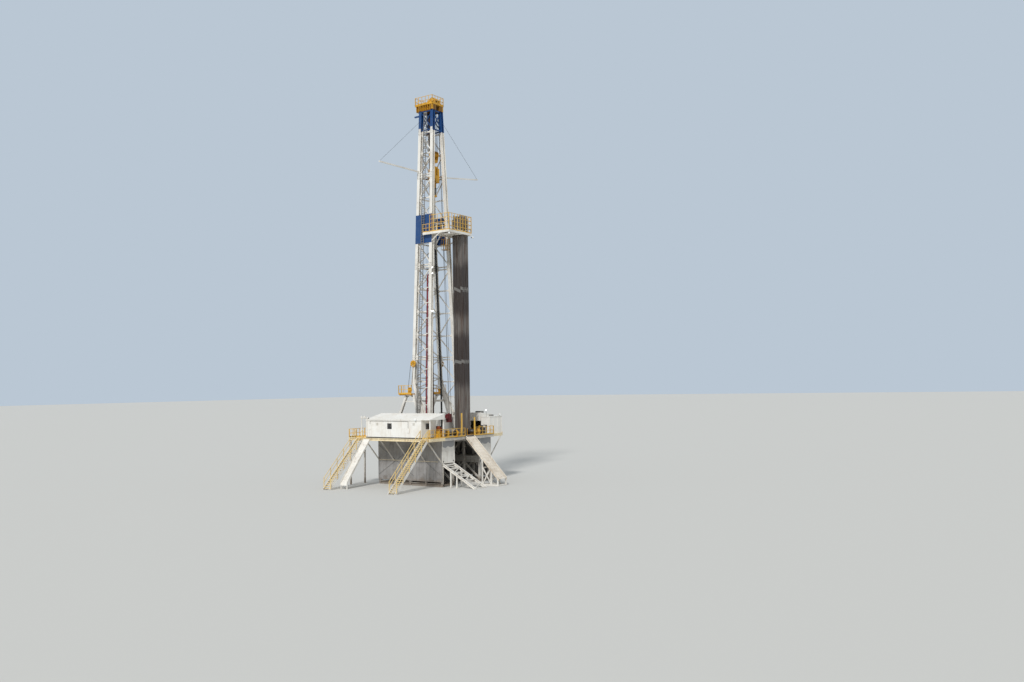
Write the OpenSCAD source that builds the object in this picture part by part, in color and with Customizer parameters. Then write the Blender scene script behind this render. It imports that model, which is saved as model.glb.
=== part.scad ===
// Triple land drilling rig with a cantilever mast on a box-on-box substructure, as a 1:2 scale model.
// Sizes are the model's own millimetres. X runs towards the V-door, minus Y towards the doghouse.

/* [Substructure] */
// Height of the drill floor's top above the ground
floor_h = 3050; // [2700:10:3400]
// Height of the lower boxes
base_h = 1450; // [1250:10:1550]
// Reach of the floor behind the well
floor_back = 2850; // [2700:10:3100]
// Reach of the floor in front of the well
floor_fore = 2750; // [2600:10:3000]
// Reach of the boxes in front of the well
box_fore = 2460; // [2350:10:2600]
// From the well to the inner side of a box
box_in = 1300; // [1150:10:1400]
// From the well to the outer side of a box
box_out = 2550; // [2400:10:2700]
// From the well to the outer edge of a side platform
plat_out = 4000; // [3800:10:4300]
// Size of the boxes' wide-flange chords
chord = 200; // [150:5:240]
// Size of the boxes' square posts
post = 130; // [90:5:170]
// Size of the boxes' diagonals
brace = 90; // [60:5:120]
// Thickness of the floor plates
plate_t = 40; // [20:1:60]
// Depth of the beams under the drill floor
floor_beam = 260; // [200:10:320]
// Depth of the beams under the side platforms
plat_beam = 150; // [100:5:200]
// Thickness of the wind walls
wall_t = 30; // [15:1:60]
// Height of the wind walls' lower edge above the ground
wall_gap = 300; // [150:10:500]
// Length of the landing behind the doghouse platform
landing = 1250; // [1000:10:1500]

/* [Rotary table] */
// Radius of the rotary table's opening
rotary_r = 238; // [150:1:300]
// Radius of the table's body in the floor
rotary_body_r = 400; // [350:1:440]
// Height of the table's flange above the floor
rotary_top = 40; // [20:1:80]

/* [Houses] */
// Height of the doghouse walls
house_h = 1100; // [1000:10:1250]
// Thickness of the house walls
house_t = 40; // [25:1:60]
// Depth of the doghouse across the rig
house_d = 1400; // [1200:10:1440]
// Rear end of the doghouse, behind the well
dog_back = 2550; // [2400:10:2700]
// Front end of the doghouse
dog_fore = 2050; // [1800:10:2150]
// Front end of the far house
far_fore = 2350; // [2100:10:2600]
// Width of a doghouse window
window_w = 310; // [200:10:400]
// Height of a doghouse window
window_h = 300; // [200:10:400]
// Height of a window's sill above the floor
window_sill = 600; // [500:10:700]
// Width of a door
door_w = 400; // [350:10:450]
// Height of a door
door_h = 980; // [900:10:1020]
// Rise of the canopy from its outer to its inner edge
canopy_rise = 340; // [250:10:500]
// Rear end of the canopy, behind the well
canopy_back = 2550; // [2200:10:2560]
// Thickness of the canopy sheet
canopy_t = 30; // [15:1:50]

/* [Ramps and stairs] */
// Width of the V-door ramp
ramp_w = 950; // [800:10:1100]
// Horizontal run of the V-door ramp
ramp_run = 2490; // [2300:10:2700]
// Height of the ramp's foot above the ground
ramp_foot = 500; // [350:10:700]
// Depth of the ramp's side beams
ramp_beam = 170; // [120:5:220]
// Horizontal run of the low side ramp
side_run = 2540; // [2300:10:2700]
// Clear width of a stair
stair_w = 500; // [400:10:600]
// Horizontal run of a stair
stair_run = 3050; // [2800:10:3300]
// Number of risers in a flight
risers = 30; // [24:1:34]
// Distance of the front stair's middle in front of the well
front_stair_x = 2300; // [2250:10:2400]
// Height of the handrails
rail_h = 540; // [480:10:600]
// Size of the handrails' tubes
rail_d = 26; // [18:1:40]

/* [Mast] */
// Height of the mast's top above the drill floor
mast_h = 21550; // [21000:50:22000]
// Height of the crown section
crown_h = 1400; // [1200:50:1600]
// Size of the mast legs
leg = 225; // [180:5:260]
// Thickness of the legs' flanges and webs
leg_t = 30; // [15:1:40]
// Front legs' distance in front of the well at the floor
front_foot = 650; // [600:10:750]
// Front legs' distance in front of the well at the top
front_top = 270; // [200:10:350]
// Rear legs' distance behind the well at the floor
rear_foot = 800; // [750:10:900]
// Rear legs' distance behind the well at the top
rear_top = 713; // [680:1:780]
// Half the width between the legs at the floor
foot_y = 1525; // [1450:5:1600]
// Half the width between the legs at the top
top_y = 410; // [380:5:480]
// Height of the knee where the rear legs slant in
knee_h = 3500; // [3200:50:3800]
// Height of the first joint between mast sections
joint_1 = 5050; // [4900:50:5200]
// Height of the second joint between mast sections
joint_2 = 11100; // [10900:50:11300]
// Size of the mast's girts
girt = 80; // [50:5:110]
// Size of the mast's diagonals
diag = 60; // [40:5:90]

/* [Top and racking board] */
// Height of the racking board above the drill floor
board_h = 13250; // [13000:50:13500]
// Reach of the racking board in front of the well
board_x = 2150; // [2100:10:2300]
// Half the width of the racking board
board_y = 1200; // [1150:10:1300]
// Depth of the racking board's frame
board_d = 150; // [100:5:200]
// Diameter of the drill pipe
pipe_d = 68; // [50:1:72]
// Spacing of the pipe stands
pipe_pitch = 90; // [85:1:95]
// Height of the shortest pipe stand above the drill floor
stand_h = 14150; // [14000:10:14500]
// Rows of pipe stands along the rig
stand_rows = 9; // [5:1:9]
// Rows of pipe stands across the rig
stand_cols = 8; // [5:1:8]
// Height of the side booms above the drill floor
boom_h = 17150; // [17000:10:17300]
// Length of the side booms
boom_len = 3550; // [3200:50:3900]

/* [Hoisting gear] */
// Height of the top drive's lower end above the drill floor
drive_z = 15800; // [15500:50:16000]
// Height of the top drive
drive_h = 2000; // [1800:50:2200]
// Height of the travelling block's lower end above the drill floor
block_z = 18100; // [18050:10:18300]
// Height of the travelling block
block_h = 900; // [800:10:1000]
// Width of the travelling block
block_w = 480; // [400:10:560]
// Diameter of the drilling line
line_d = 18; // [14:1:24]
// Number of parts of line between crown and block
lines = 8; // [6:2:10]
// Clearance between the top drive's carriage and its rail
rail_gap = 6; // [5:1:12]

/* [Hidden] */

near = -1;
far = 1;
plate_z = floor_h - plate_t;
// Stations of the boxes' posts along the rig
bays = 4;
box_len = floor_back + box_fore;
stations = [for (i = [0 : bays]) -floor_back + post / 2 + i * (box_len - post) / bays];
// Slack at a machine's running surfaces and at pieces set into holes
fit_gap = 0.3;

// The landing lies behind the floor, and its stair's middle lies over its inner half
rear_stair_x = -floor_back - stair_w / 2 - 10;
stringer_t = 25;
stringer_d = 150;
rise = floor_h / risers;
going = stair_run / risers;
slide_w = 560;
slide_x = -floor_back + slide_w / 2 + 70;
slide_run = 2100;

// Thickness of the mast's base plates
shoe_t = 60;

// Height of the crown section's lower end above the drill floor
crown_from = mast_h - crown_h;

// Places on the mast's leg lines, a height h above the drill floor
function share(h) = h / mast_h;
function front_x(h) = front_foot + (front_top - front_foot) * share(h);
function rear_x(h) = h < knee_h
    ? front_foot + (rear_line(knee_h) - front_foot) * h / knee_h
    : rear_line(h);
function rear_line(h) = -rear_foot + (rear_foot - rear_top) * share(h);
function half_y(h) = foot_y + (top_y - foot_y) * share(h);
function front_at(side, h) = [front_x(h), side * half_y(h), floor_h + h];
function rear_at(side, h) = [rear_x(h), side * half_y(h), floor_h + h];
function spaced(a, b, n) = [for (i = [0 : n]) a + (b - a) * i / n];

// Section of the side booms, the far boom's lift at its tip and its stand-off at the leg
boom_tube = 80;
boom_lift = 480;
boom_seat = 6;
// The near boom sits higher and is longer
near_boom_up = 300;
near_boom_len = boom_len + 250;

// The row's origin lies under the middle of its box
x_low = -floor_back - landing;
x_high = floor_fore + ramp_run;
y_low = -plat_out - stair_run;
y_high = half_y(boom_h) + leg / 2 + boom_len + boom_tube / 2 * sin(atan2(boom_lift, boom_len - boom_seat));
shift = [-(x_low + x_high) / 2, -(y_low + y_high) / 2, 0];

function unit(v) = v / norm(v);

// Draws its children along the line from p to q, local z along the line and local y towards up
module along(p, q, up) {
    axis = unit(q - p);
    across = unit(cross(up, axis));
    over = cross(axis, across);
    multmatrix([[across.x, over.x, axis.x, p.x],
                [across.y, over.y, axis.y, p.y],
                [across.z, over.z, axis.z, p.z],
                [0, 0, 0, 1]])
        children();
}

// A square-cut bar, w across and d towards up
module bar(p, q, w, d, up = [0, 0, 1]) {
    along(p, q, up)
        translate([-w / 2, -d / 2, 0])
            cube([w, d, norm(q - p)]);
}

module round_bar(p, q, d, up = [0, 0, 1], sides = 24) {
    along(p, q, up)
        cylinder(h = norm(q - p), d = d, $fn = sides);
}

// A wide-flange beam, its flanges above and below in the direction of up
module flange_beam(p, q, w, d, t, up = [0, 0, 1]) {
    along(p, q, up)
        linear_extrude(norm(q - p))
            wide_flange(w, d, t);
}

module wide_flange(w, d, t) {
    polygon([[-w / 2, -d / 2], [w / 2, -d / 2], [w / 2, -d / 2 + t], [t / 2, -d / 2 + t],
             [t / 2, d / 2 - t], [w / 2, d / 2 - t], [w / 2, d / 2], [-w / 2, d / 2],
             [-w / 2, d / 2 - t], [-t / 2, d / 2 - t], [-t / 2, -d / 2 + t], [-w / 2, -d / 2 + t]]);
}

// A block between two corners
module block(a, b) {
    translate(a)
        cube(b - a);
}

// Both sides of the rig, mirrored about its long axis
module both_sides() {
    children();
    mirror([0, 1, 0])
        children();
}

// One side's box frame between two levels, with its chords, posts, ties and zigzag diagonals
module box_frame(side, z0, z1) {
    flange_t = 22;
    rows = [box_in + chord / 2, box_out - chord / 2];
    for (y = rows, z = [z0 + chord / 2, z1 - chord / 2])
        flange_beam([-floor_back, side * y, z], [box_fore, side * y, z], chord, chord, flange_t);
    for (x = stations) {
        for (y = rows)
            bar([x, side * y, z0 + flange_t], [x, side * y, z1 - flange_t], post, post, [0, 1, 0]);
        for (z = [z0 + chord / 2, z1 - chord / 2])
            bar([x, side * rows[0], z], [x, side * rows[1], z], brace, brace);
    }
    for (i = [0 : bays - 1], y = rows)
        bar([stations[i], side * y, i % 2 == 0 ? z0 + chord : z1 - chord],
            [stations[i + 1], side * y, i % 2 == 0 ? z1 - chord : z0 + chord], brace, brace, [0, 1, 0]);
}

module base_box_near() {
    color("white")
        box_frame(near, 0, base_h);
}

module base_box_far() {
    color("white")
        box_frame(far, 0, base_h);
}

module upper_box_near() {
    color("white")
        box_frame(near, base_h, plate_z);
}

module upper_box_far() {
    color("white")
        box_frame(far, base_h, plate_z);
}

// Ties between the two lower boxes, behind the well
module spreader_beams() {
    color("white")
        for (x = [-floor_back + chord / 2, -floor_back / 2], z = [chord / 2, base_h - chord / 2])
            flange_beam([x, -box_in, z], [x, box_in, z], chord, chord, 22);
}

// Beams under the drill floor between the two upper boxes, with a bay left open for the well,
// and the beam along the floor's front edge
module floor_beams() {
    z = plate_z - floor_beam / 2;
    well = rotary_body_r + 100;
    beam_w = 150;
    beam_t = 22;
    edge_w = 100;
    inner = well - beam_t / 2 - fit_gap;
    color("white") {
        for (x = [-floor_back + 100, -floor_back / 2, -well, well, box_fore - 860, box_fore - 100])
            flange_beam([x, -box_in, z], [x, box_in, z], beam_w, floor_beam, beam_t);
        for (y = [-well, well])
            flange_beam([-inner, y, z], [inner, y, z], 120, floor_beam - 60, beam_t);
        flange_beam([floor_fore - edge_w / 2, -box_out + fit_gap, plate_z - plat_beam / 2],
                    [floor_fore - edge_w / 2, box_out - fit_gap, plate_z - plat_beam / 2], edge_w, plat_beam, 16);
    }
}

module drill_floor() {
    color("dimgray")
        difference() {
            block([-floor_back, -box_out, plate_z], [floor_fore, box_out, floor_h]);
            translate([0, 0, plate_z - 1])
                cylinder(h = plate_t + 2, r = rotary_body_r + fit_gap, $fn = 96);
        }
}

// Rotary table with its flange on the floor and its round opening over the well
module rotary_table() {
    body_d = 150;
    flange_r = rotary_body_r + 60;
    color("saddlebrown")
        difference() {
            union() {
                translate([0, 0, floor_h])
                    cylinder(h = rotary_top, r = flange_r, $fn = 96);
                translate([0, 0, floor_h - body_d])
                    cylinder(h = body_d + 1, r = rotary_body_r, $fn = 96);
            }
            translate([0, 0, floor_h - body_d - 1])
                cylinder(h = body_d + rotary_top + 2, r = rotary_r, $fn = 96);
        }
}

// A floor platform beside the boxes, from x0 to x1, with its edge beams and joists
module side_platform(side, x0, x1) {
    edge = 100;
    inner = side * box_out;
    outer = side * plat_out;
    y_edge = side * (plat_out - edge / 2);
    z = plate_z - plat_beam / 2;
    block([x0, min(inner, outer), plate_z], [x1, max(inner, outer), floor_h]);
    flange_beam([x0, y_edge, z], [x1, y_edge, z], edge, plat_beam, 16);
    for (x = platform_joists(x0, x1))
        bar([x, inner, z], [x, outer, z], 70, plat_beam);
}

function platform_joists(x0, x1) = concat([x0 + 35], [for (x = stations) if (x > x0 + 200 && x < x1 - 200) x],
    x0 < -floor_back ? [-floor_back + 35, x1 - 35] : [x1 - 35]);

module near_platform() {
    color("gold")
        side_platform(near, -floor_back - landing, floor_fore);
}

module far_platform() {
    color("gold")
        side_platform(far, -floor_back, far_fore + 60);
}

// Knee braces from the platforms' outer edges down to the walls, and the landing's two posts
module platform_braces() {
    foot_z = base_h + 60;
    top_z = plate_z - plat_beam;
    reach = 200;
    post_x = -floor_back - landing + 80;
    post_w = 90;
    near_post = -plat_out + 80;
    far_post = -box_out - 80;
    color("white") {
        both_sides()
            intersection() {
                for (x = stations)
                    bar([x, box_out - 100, foot_z - 100], [x, plat_out - reach + 100, top_z + 100],
                        50, 60, [0, 0, 1]);
                block([-floor_back - 10, box_out + wall_t, base_h], [floor_fore + 10, plat_out, top_z]);
            }
        for (y = [near_post, far_post])
            bar([post_x, y, 0], [post_x, y, top_z], post_w, post_w, [0, 1, 0]);
        bar([post_x, near_post + post_w / 2 + fit_gap, top_z - 900],
            [post_x, far_post - post_w / 2 - fit_gap, top_z - 900], 60, 60);
    }
}

// Ribbed sheet walls over the boxes' sides and rear
module wind_walls() {
    top_z = plate_z - plat_beam;
    rib = 12;
    rib_pitch = 280;
    color("dimgray") {
        both_sides()
            union() {
                block([-floor_back, box_out, wall_gap], [box_fore, box_out + wall_t, top_z]);
                for (x = [-floor_back + 140 : rib_pitch : box_fore - 60])
                    if (min([for (s = stations) abs(s - x)]) > 80)
                        block([x - 20, box_out + wall_t - 1, wall_gap], [x + 20, box_out + wall_t + rib, top_z]);
            }
        block([-floor_back - wall_t, -box_out, wall_gap], [-floor_back, box_out, top_z]);
    }
}

// Closed white ends of the upper boxes beside the V-door
module box_end_panels() {
    color("white")
        both_sides()
            block([box_fore, box_in, base_h], [box_fore + 20, box_out, plate_z]);
}

// A house's floor and walls, less the openings given as children
module house_shell(side, x0, x1) {
    y0 = min(side * plat_out, side * (plat_out - house_d));
    y1 = y0 + house_d;
    difference() {
        block([x0, y0, floor_h], [x1, y1, floor_h + house_h]);
        block([x0 + house_t, y0 + house_t, floor_h + house_t],
              [x1 - house_t, y1 - house_t, floor_h + house_h + 1]);
        children();
    }
}

side_window_x = -550;
end_window_y = -plat_out + 600;
door_x = 1400;
door_leaf_t = 26;
glass_t = 12;
sill_z = floor_h + window_sill;

// Space of the window in the doghouse's long outer wall, t thick and its outer face at y
module side_window(y, t) {
    block([side_window_x - window_w / 2, y, sill_z], [side_window_x + window_w / 2, y + t, sill_z + window_h]);
}

// Space of the window in the doghouse's front end wall
module end_window(x, t) {
    block([x, end_window_y - window_w / 2, sill_z], [x + t, end_window_y + window_w / 2, sill_z + window_h]);
}

module door_space(y, t) {
    block([door_x - door_w / 2, y, floor_h + house_t], [door_x + door_w / 2, y + t, floor_h + door_h]);
}

module doghouse_walls() {
    color("white")
        house_shell(near, -dog_back, dog_fore) {
            side_window(-plat_out - 1, house_t + 2);
            end_window(dog_fore - house_t - 1, house_t + 2);
            door_space(-plat_out + house_d - house_t - 1, house_t + 2);
        }
}

module doghouse_roof() {
    eave = 20;
    color("white")
        block([-dog_back - eave, -plat_out - eave, floor_h + house_h],
              [dog_fore + eave, -plat_out + house_d + eave, floor_h + house_h + house_t]);
}

module doghouse_glass() {
    inset = (house_t - glass_t) / 2;
    color("black") {
        side_window(-plat_out + inset, glass_t);
        end_window(dog_fore - house_t + inset, glass_t);
    }
}

module doghouse_door() {
    color("white")
        door_space(-plat_out + house_d - house_t, door_leaf_t);
}

// Sloping sheet over the doghouse and the walkway, on gables that stand on the roof and on two
// posts, with a closed front end
module canopy() {
    hang = 40;
    gable_t = 20;
    post_w = 60;
    z_roof = floor_h + house_h + house_t;
    z0 = z_roof + 2;
    z1 = z0 + canopy_rise;
    y0 = -plat_out - hang;
    y1 = -plat_out + house_d + hang;
    post_x = floor_fore - 70;
    color("white") {
        sheet(-canopy_back, floor_fore, y0, z0, y1, z1, canopy_t);
        for (x = [-canopy_back, -canopy_back / 2, 0, dog_fore / 2, dog_fore - gable_t, floor_fore - gable_t])
            sheet_gable(x, gable_t, -plat_out, -plat_out + house_d, z_roof, y0, z0, y1, z1, canopy_t);
        for (y = [-plat_out + rail_d + post_w, -plat_out + house_d - 40])
            bar([post_x, y, floor_h], [post_x, y, z0 + canopy_rise * (y - y0) / (y1 - y0) + canopy_t / 2],
                post_w, post_w, [0, 1, 0]);
    }
}

// A sheet along the rig, its section sloping from (y0, z0) to (y1, z1)
module sheet(x0, x1, y0, z0, y1, z1, t) {
    translate([x0, 0, 0])
        rotate([90, 0, 90])
            linear_extrude(x1 - x0)
                polygon([[y0, z0], [y1, z1], [y1, z1 + t], [y0, z0 + t]]);
}

// An upright plate between a roof and the sheet that slopes over it
module sheet_gable(x, t, ya, yb, z_roof, y0, z0, y1, z1, sheet_t) {
    slope = (z1 - z0) / (y1 - y0);
    translate([x, 0, 0])
        rotate([90, 0, 90])
            linear_extrude(t)
                polygon([[ya, z_roof], [yb, z_roof], [yb, z0 + slope * (yb - y0) + sheet_t / 2],
                         [ya, z0 + slope * (ya - y0) + sheet_t / 2]]);
}

// The far house is open towards the drill floor beside the pipe stands
bay_x0 = 750;
bay_x1 = 1650;
bay_z0 = floor_h + 200;
bay_z1 = floor_h + 850;

module far_house_walls() {
    y_in = plat_out - house_d;
    color("white")
        house_shell(far, -dog_back, far_fore)
            block([bay_x0, y_in - 1, bay_z0], [bay_x1, y_in + house_t + 1, bay_z1]);
}

// Flat roof of the far house with the raised hood over its rear part and its deep front board
module far_house_roof() {
    eave = 20;
    gable_t = 20;
    hood_x0 = -1900;
    hood_h = 260;
    low = 60;
    y_in = plat_out - house_d - eave;
    z_top = floor_h + house_h + house_t;
    color("white") {
        block([-dog_back - eave, y_in, floor_h + house_h], [far_fore + eave, plat_out, z_top]);
        block([hood_x0, y_in - canopy_t, bay_z1 + 10], [bay_x1, y_in + 1, z_top + hood_h]);
        sheet(hood_x0, bay_x1, y_in, z_top + hood_h - canopy_t, plat_out - 50, z_top + low, canopy_t);
        for (x = [hood_x0, bay_x1 - gable_t])
            sheet_gable(x, gable_t, y_in, plat_out - 50, z_top, y_in, z_top + hood_h - canopy_t,
                        plat_out - 50, z_top + low, canopy_t);
    }
}

// A plate or flange that slopes along the rig, cut upright at both ends
module slope_plate(x0, z0, x1, z1, t, y0, y1) {
    translate([0, y1, 0])
        rotate([90, 0, 0])
            linear_extrude(y1 - y0)
                polygon([[x0, z0], [x1, z1], [x1, z1 - t], [x0, z0 - t]]);
}

// Sloping wide-flange beam of the ramps, its section kept upright
module slope_beam(x0, z0, x1, z1, d, y, w) {
    flange_t = 22;
    web_t = 20;
    slope_plate(x0, z0, x1, z1, flange_t, y - w / 2, y + w / 2);
    slope_plate(x0, z0 - d + flange_t, x1, z1 - d + flange_t, flange_t, y - w / 2, y + w / 2);
    slope_plate(x0, z0, x1, z1, d, y - web_t / 2, y + web_t / 2);
}

ramp_x1 = floor_fore + ramp_run;
ramp_flange = 90;
ramp_side_y = ramp_w / 2 - ramp_flange / 2;

// Pipe ramp: two side beams and the trough floor between them, with its cross ribs
module vdoor_ramp() {
    sink = 60;
    ribs = 8;
    color("tan") {
        both_sides()
            slope_beam(floor_fore, floor_h, ramp_x1, ramp_foot, ramp_beam, ramp_side_y, ramp_flange);
        slope_plate(floor_fore, floor_h - sink, ramp_x1, ramp_foot - sink, 16, -ramp_side_y, ramp_side_y);
        for (s = spaced(0.06, 0.94, ribs - 1))
            bar([floor_fore + ramp_run * s, -ramp_side_y, floor_h - sink - 50 - (floor_h - ramp_foot) * s],
                [floor_fore + ramp_run * s, ramp_side_y, floor_h - sink - 50 - (floor_h - ramp_foot) * s], 40, 70);
    }
}

// Legs and ties under the ramp, cut off along the underside of its side beams
module ramp_support() {
    leg_x = [floor_fore + ramp_run * 0.5, floor_fore + ramp_run * 0.78, ramp_x1 - 60];
    low = 45;
    color("white")
        intersection() {
            union() {
                both_sides()
                    union() {
                        for (x = leg_x)
                            bar([x, ramp_side_y, 0], [x, ramp_side_y, floor_h], 80, 80, [0, 1, 0]);
                        bar([leg_x[0] - 40, ramp_side_y, low], [ramp_x1, ramp_side_y, low], 80, 90);
                        bar([leg_x[0], ramp_side_y, low], [leg_x[1], ramp_side_y, 1150], 60, 60);
                        bar([leg_x[0], ramp_side_y, 1150], [leg_x[1], ramp_side_y, low], 60, 60);
                    }
                for (x = leg_x)
                    bar([x, -ramp_side_y, low], [x, ramp_side_y, low], 80, 80);
                bar([leg_x[0], -ramp_side_y, 1100], [leg_x[0], ramp_side_y, 1100], 70, 70);
                bar([leg_x[0], -ramp_side_y, 1100], [leg_x[0], ramp_side_y, low], 50, 50);
                bar([leg_x[0], -ramp_side_y, low], [leg_x[0], ramp_side_y, 1100], 50, 50);
            }
            translate([0, ramp_w / 2 + 1, 0])
                rotate([90, 0, 0])
                    linear_extrude(ramp_w + 2)
                        polygon([[floor_fore, 0], [ramp_x1, 0], [ramp_x1, ramp_foot - ramp_beam],
                                 [floor_fore, floor_h - ramp_beam]]);
        }
}

// Low skidding frame from the near box's front end down to the ground
module side_ramp_frame() {
    rows = [-box_out + chord / 2, -box_in - chord / 2];
    foot_t = 60;
    depth = 150;
    x1 = box_fore + side_run;
    bays_n = 6;
    slope = (base_h - foot_t) / side_run;
    color("white")
        intersection() {
            union() {
                for (y = rows)
                    slope_beam(box_fore, base_h, x1, foot_t, depth, y, 110);
                for (s = spaced(0.02, 0.97, bays_n))
                    bar([box_fore + side_run * s, rows[0], base_h - depth / 2 - slope * side_run * s],
                        [box_fore + side_run * s, rows[1], base_h - depth / 2 - slope * side_run * s], 70, 80);
                for (i = [0 : bays_n - 1])
                    ramp_diagonal(rows[i % 2], rows[(i + 1) % 2], spaced(0.02, 0.97, bays_n), i, slope, depth);
                for (x = [box_fore + 620, box_fore + 1090], y = rows)
                    bar([x, y, 0], [x, y, base_h - depth / 2 - slope * (x - box_fore)], 80, 80, [0, 1, 0]);
            }
            block([box_fore, -box_out, 0], [x1, -box_in, base_h]);
        }
}

module ramp_diagonal(ya, yb, s, i, slope, depth) {
    bar([box_fore + side_run * s[i], ya, base_h - depth / 2 - slope * side_run * s[i]],
        [box_fore + side_run * s[i + 1], yb, base_h - depth / 2 - slope * side_run * s[i + 1]], 45, 45);
}

stair_middles = [front_stair_x, rear_stair_x];

// One flight's two stringers, which end flat on the ground
module flight_stringers(x) {
    drop = stringer_d * sqrt(2);
    pitch = floor_h / stair_run;
    for (x0 = [x - stair_w / 2 - stringer_t, x + stair_w / 2])
        translate([x0, 0, 0])
            rotate([90, 0, 90])
                linear_extrude(stringer_t)
                    polygon([[-plat_out, floor_h], [-plat_out - stair_run, 0],
                             [-plat_out - stair_run + drop / pitch, 0], [-plat_out, floor_h - drop]]);
}

module stair_stringers() {
    color("white")
        for (x = stair_middles)
            flight_stringers(x);
}

// The treads of one flight, each a grating plank between the stringers
module flight_treads(x) {
    tread_t = 20;
    for (k = [1 : risers - 1])
        block([x - stair_w / 2, -plat_out - k * going, floor_h - k * rise - tread_t],
              [x + stair_w / 2, -plat_out - (k - 1) * going, floor_h - k * rise]);
}

module front_stair_treads() {
    color("gold")
        flight_treads(front_stair_x);
}

module rear_stair_treads() {
    color("gold")
        flight_treads(rear_stair_x);
}

// Handrails on the outer faces of the stringers
module stair_rails() {
    posts = 6;
    newel = rail_d + 6;
    half = stair_w / 2 + stringer_t + newel / 2;
    pitch = floor_h / stair_run;
    color("gold")
        for (middle = stair_middles, x = [middle - half, middle + half]) {
            for (level = [rail_h, rail_h / 2])
                bar([x, -plat_out - rail_d, floor_h - rail_d * pitch + level],
                    [x, -plat_out - stair_run + 150, 150 * pitch + level], rail_d, rail_d);
            for (s = spaced(0.02, 0.94, posts - 1))
                bar([x, -plat_out - s * stair_run, floor_h * (1 - s) - 120],
                    [x, -plat_out - s * stair_run, floor_h * (1 - s) + rail_h + newel / 2], newel, newel, [0, 1, 0]);
        }
}

// Escape slide: a steep trough from the platform's edge, with a short run-out on two legs
module escape_slide() {
    sheet_t = 20;
    wall = 150;
    z_top = plate_z - 60;
    z_end = 260;
    y_end = -plat_out - slide_run;
    color("white") {
        translate([slide_x - slide_w / 2, 0, 0])
            rotate([90, 0, 90])
                linear_extrude(slide_w)
                    polygon([[-plat_out, z_top], [y_end, z_end], [y_end, z_end - 60], [-plat_out, z_top - 60]]);
        for (x = [slide_x - slide_w / 2, slide_x + slide_w / 2 - sheet_t])
            translate([x, 0, 0])
                rotate([90, 0, 90])
                    linear_extrude(sheet_t)
                        polygon([[-plat_out, z_top], [-plat_out, z_top + 60], [y_end, z_end + wall], [y_end, z_end]]);
        for (x = [slide_x - slide_w / 2 + 30, slide_x + slide_w / 2 - 30])
            bar([x, y_end + 60, 0], [x, y_end + 60, z_end], 60, 60, [0, 1, 0]);
    }
}

// Gap between neighbouring panels of handrail
panel_gap = 12;

// A straight run of handrail from p to q with a toe board, h high and with its rails in equal steps
module rail_run(p, q, posts, h = rail_h, rails = 2) {
    lift = [0, 0, h - rail_d / 2];
    for (k = [1 : rails])
        bar(p + lift * k / rails, q + lift * k / rails, rail_d, rail_d);
    bar(p + [0, 0, 30], q + [0, 0, 30], 8, 60);
    for (s = spaced(0, 1, posts - 1))
        bar(p + (q - p) * s, p + (q - p) * s + [0, 0, h], rail_d, rail_d, [0, 1, 0]);
}

module floor_rails() {
    in = rail_d / 2;
    clear = rail_d + panel_gap;
    z = floor_h;
    x_end = floor_fore - in;
    x_rear = -floor_back + in;
    x_back = -floor_back - landing + in;
    stair_far = front_stair_x + stair_w / 2 + stringer_t + clear;
    stair_left = rear_stair_x - stair_w / 2 - stringer_t - clear;
    gate = ramp_w / 2 + 60;
    color("gold") {
        rail_run([stair_far, -plat_out + in, z], [x_end - clear, -plat_out + in, z], 2);
        rail_run([x_end, -plat_out + in, z], [x_end, -gate, z], 9);
        rail_run([x_end, gate, z], [x_end, box_out - in, z], 6);
        rail_run([far_fore + 60 + in, box_out - in, z], [x_end - clear, box_out - in, z], 2);
        rail_run([x_rear, -box_out + in, z], [x_rear, plat_out - in, z], 14);
        rail_run([x_back + clear, -box_out - in, z], [x_rear - clear, -box_out - in, z], 4);
        rail_run([x_back, -plat_out + in, z], [x_back, -box_out - in, z], 4);
        rail_run([x_back + clear, -plat_out + in, z], [stair_left, -plat_out + in, z], 3);
    }
}

// Posts beside the V-door, with their foot plates
module vdoor_posts() {
    color("gold")
        for (spot = [[-720, 1470], [ramp_w / 2 + 150, 1170]]) {
            block([floor_fore - 190, spot[0] - 60, floor_h], [floor_fore - 70, spot[0] + 60, floor_h + 15]);
            block([floor_fore - 165, spot[0] - 35, floor_h + 14], [floor_fore - 95, spot[0] + 35, floor_h + spot[1]]);
        }
}

// Pipe wrench machine on the floor beside the canopy: base, column, arm and head
module floor_wrench() {
    x = 2150;
    y = -2250;
    color("darkorange") {
        block([x - 150, y - 150, floor_h], [x + 150, y + 150, floor_h + 40]);
        block([x - 70, y - 70, floor_h + 39], [x + 70, y + 70, floor_h + 620]);
        block([x - 260, y - 60, floor_h + 420], [x - 60, y + 60, floor_h + 540]);
        block([x - 380, y - 110, floor_h + 330], [x - 240, y + 110, floor_h + 600]);
    }
}

stand_x = 1200;
stand_y = 400;

// Stands of drill pipe set back on the floor, racked between the board's fingers
module pipe_stands() {
    steps = 6;
    step_h = 60;
    color("dimgray")
        for (i = [0 : stand_rows - 1], j = [0 : stand_cols - 1])
            translate([stand_x + i * pipe_pitch, stand_y + j * pipe_pitch, floor_h])
                cylinder(h = stand_h + ((i * 5 + j * 7 + i * j) % steps) * step_h, d = pipe_d, $fn = 24);
}

// Levels of the girts, from the knee's triangle to the crown section
low_levels = concat([1500, 2500, knee_h], [joint_1 - girt]);
mid_levels = concat([joint_1 + girt], spaced(joint_1, joint_2, 4), [joint_2 - girt]);
mid_girts = [for (h = mid_levels) if (h != joint_1 && h != joint_2) h];
joint_3 = joint_2 + (joint_2 - joint_1);
top_levels = concat([joint_2 + girt], [for (k = [1 : 3]) joint_2 + k * (joint_3 - joint_2) / 4],
                    [joint_3 - girt, joint_3 + girt, (joint_3 + crown_from) / 2, crown_from - girt]);

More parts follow.
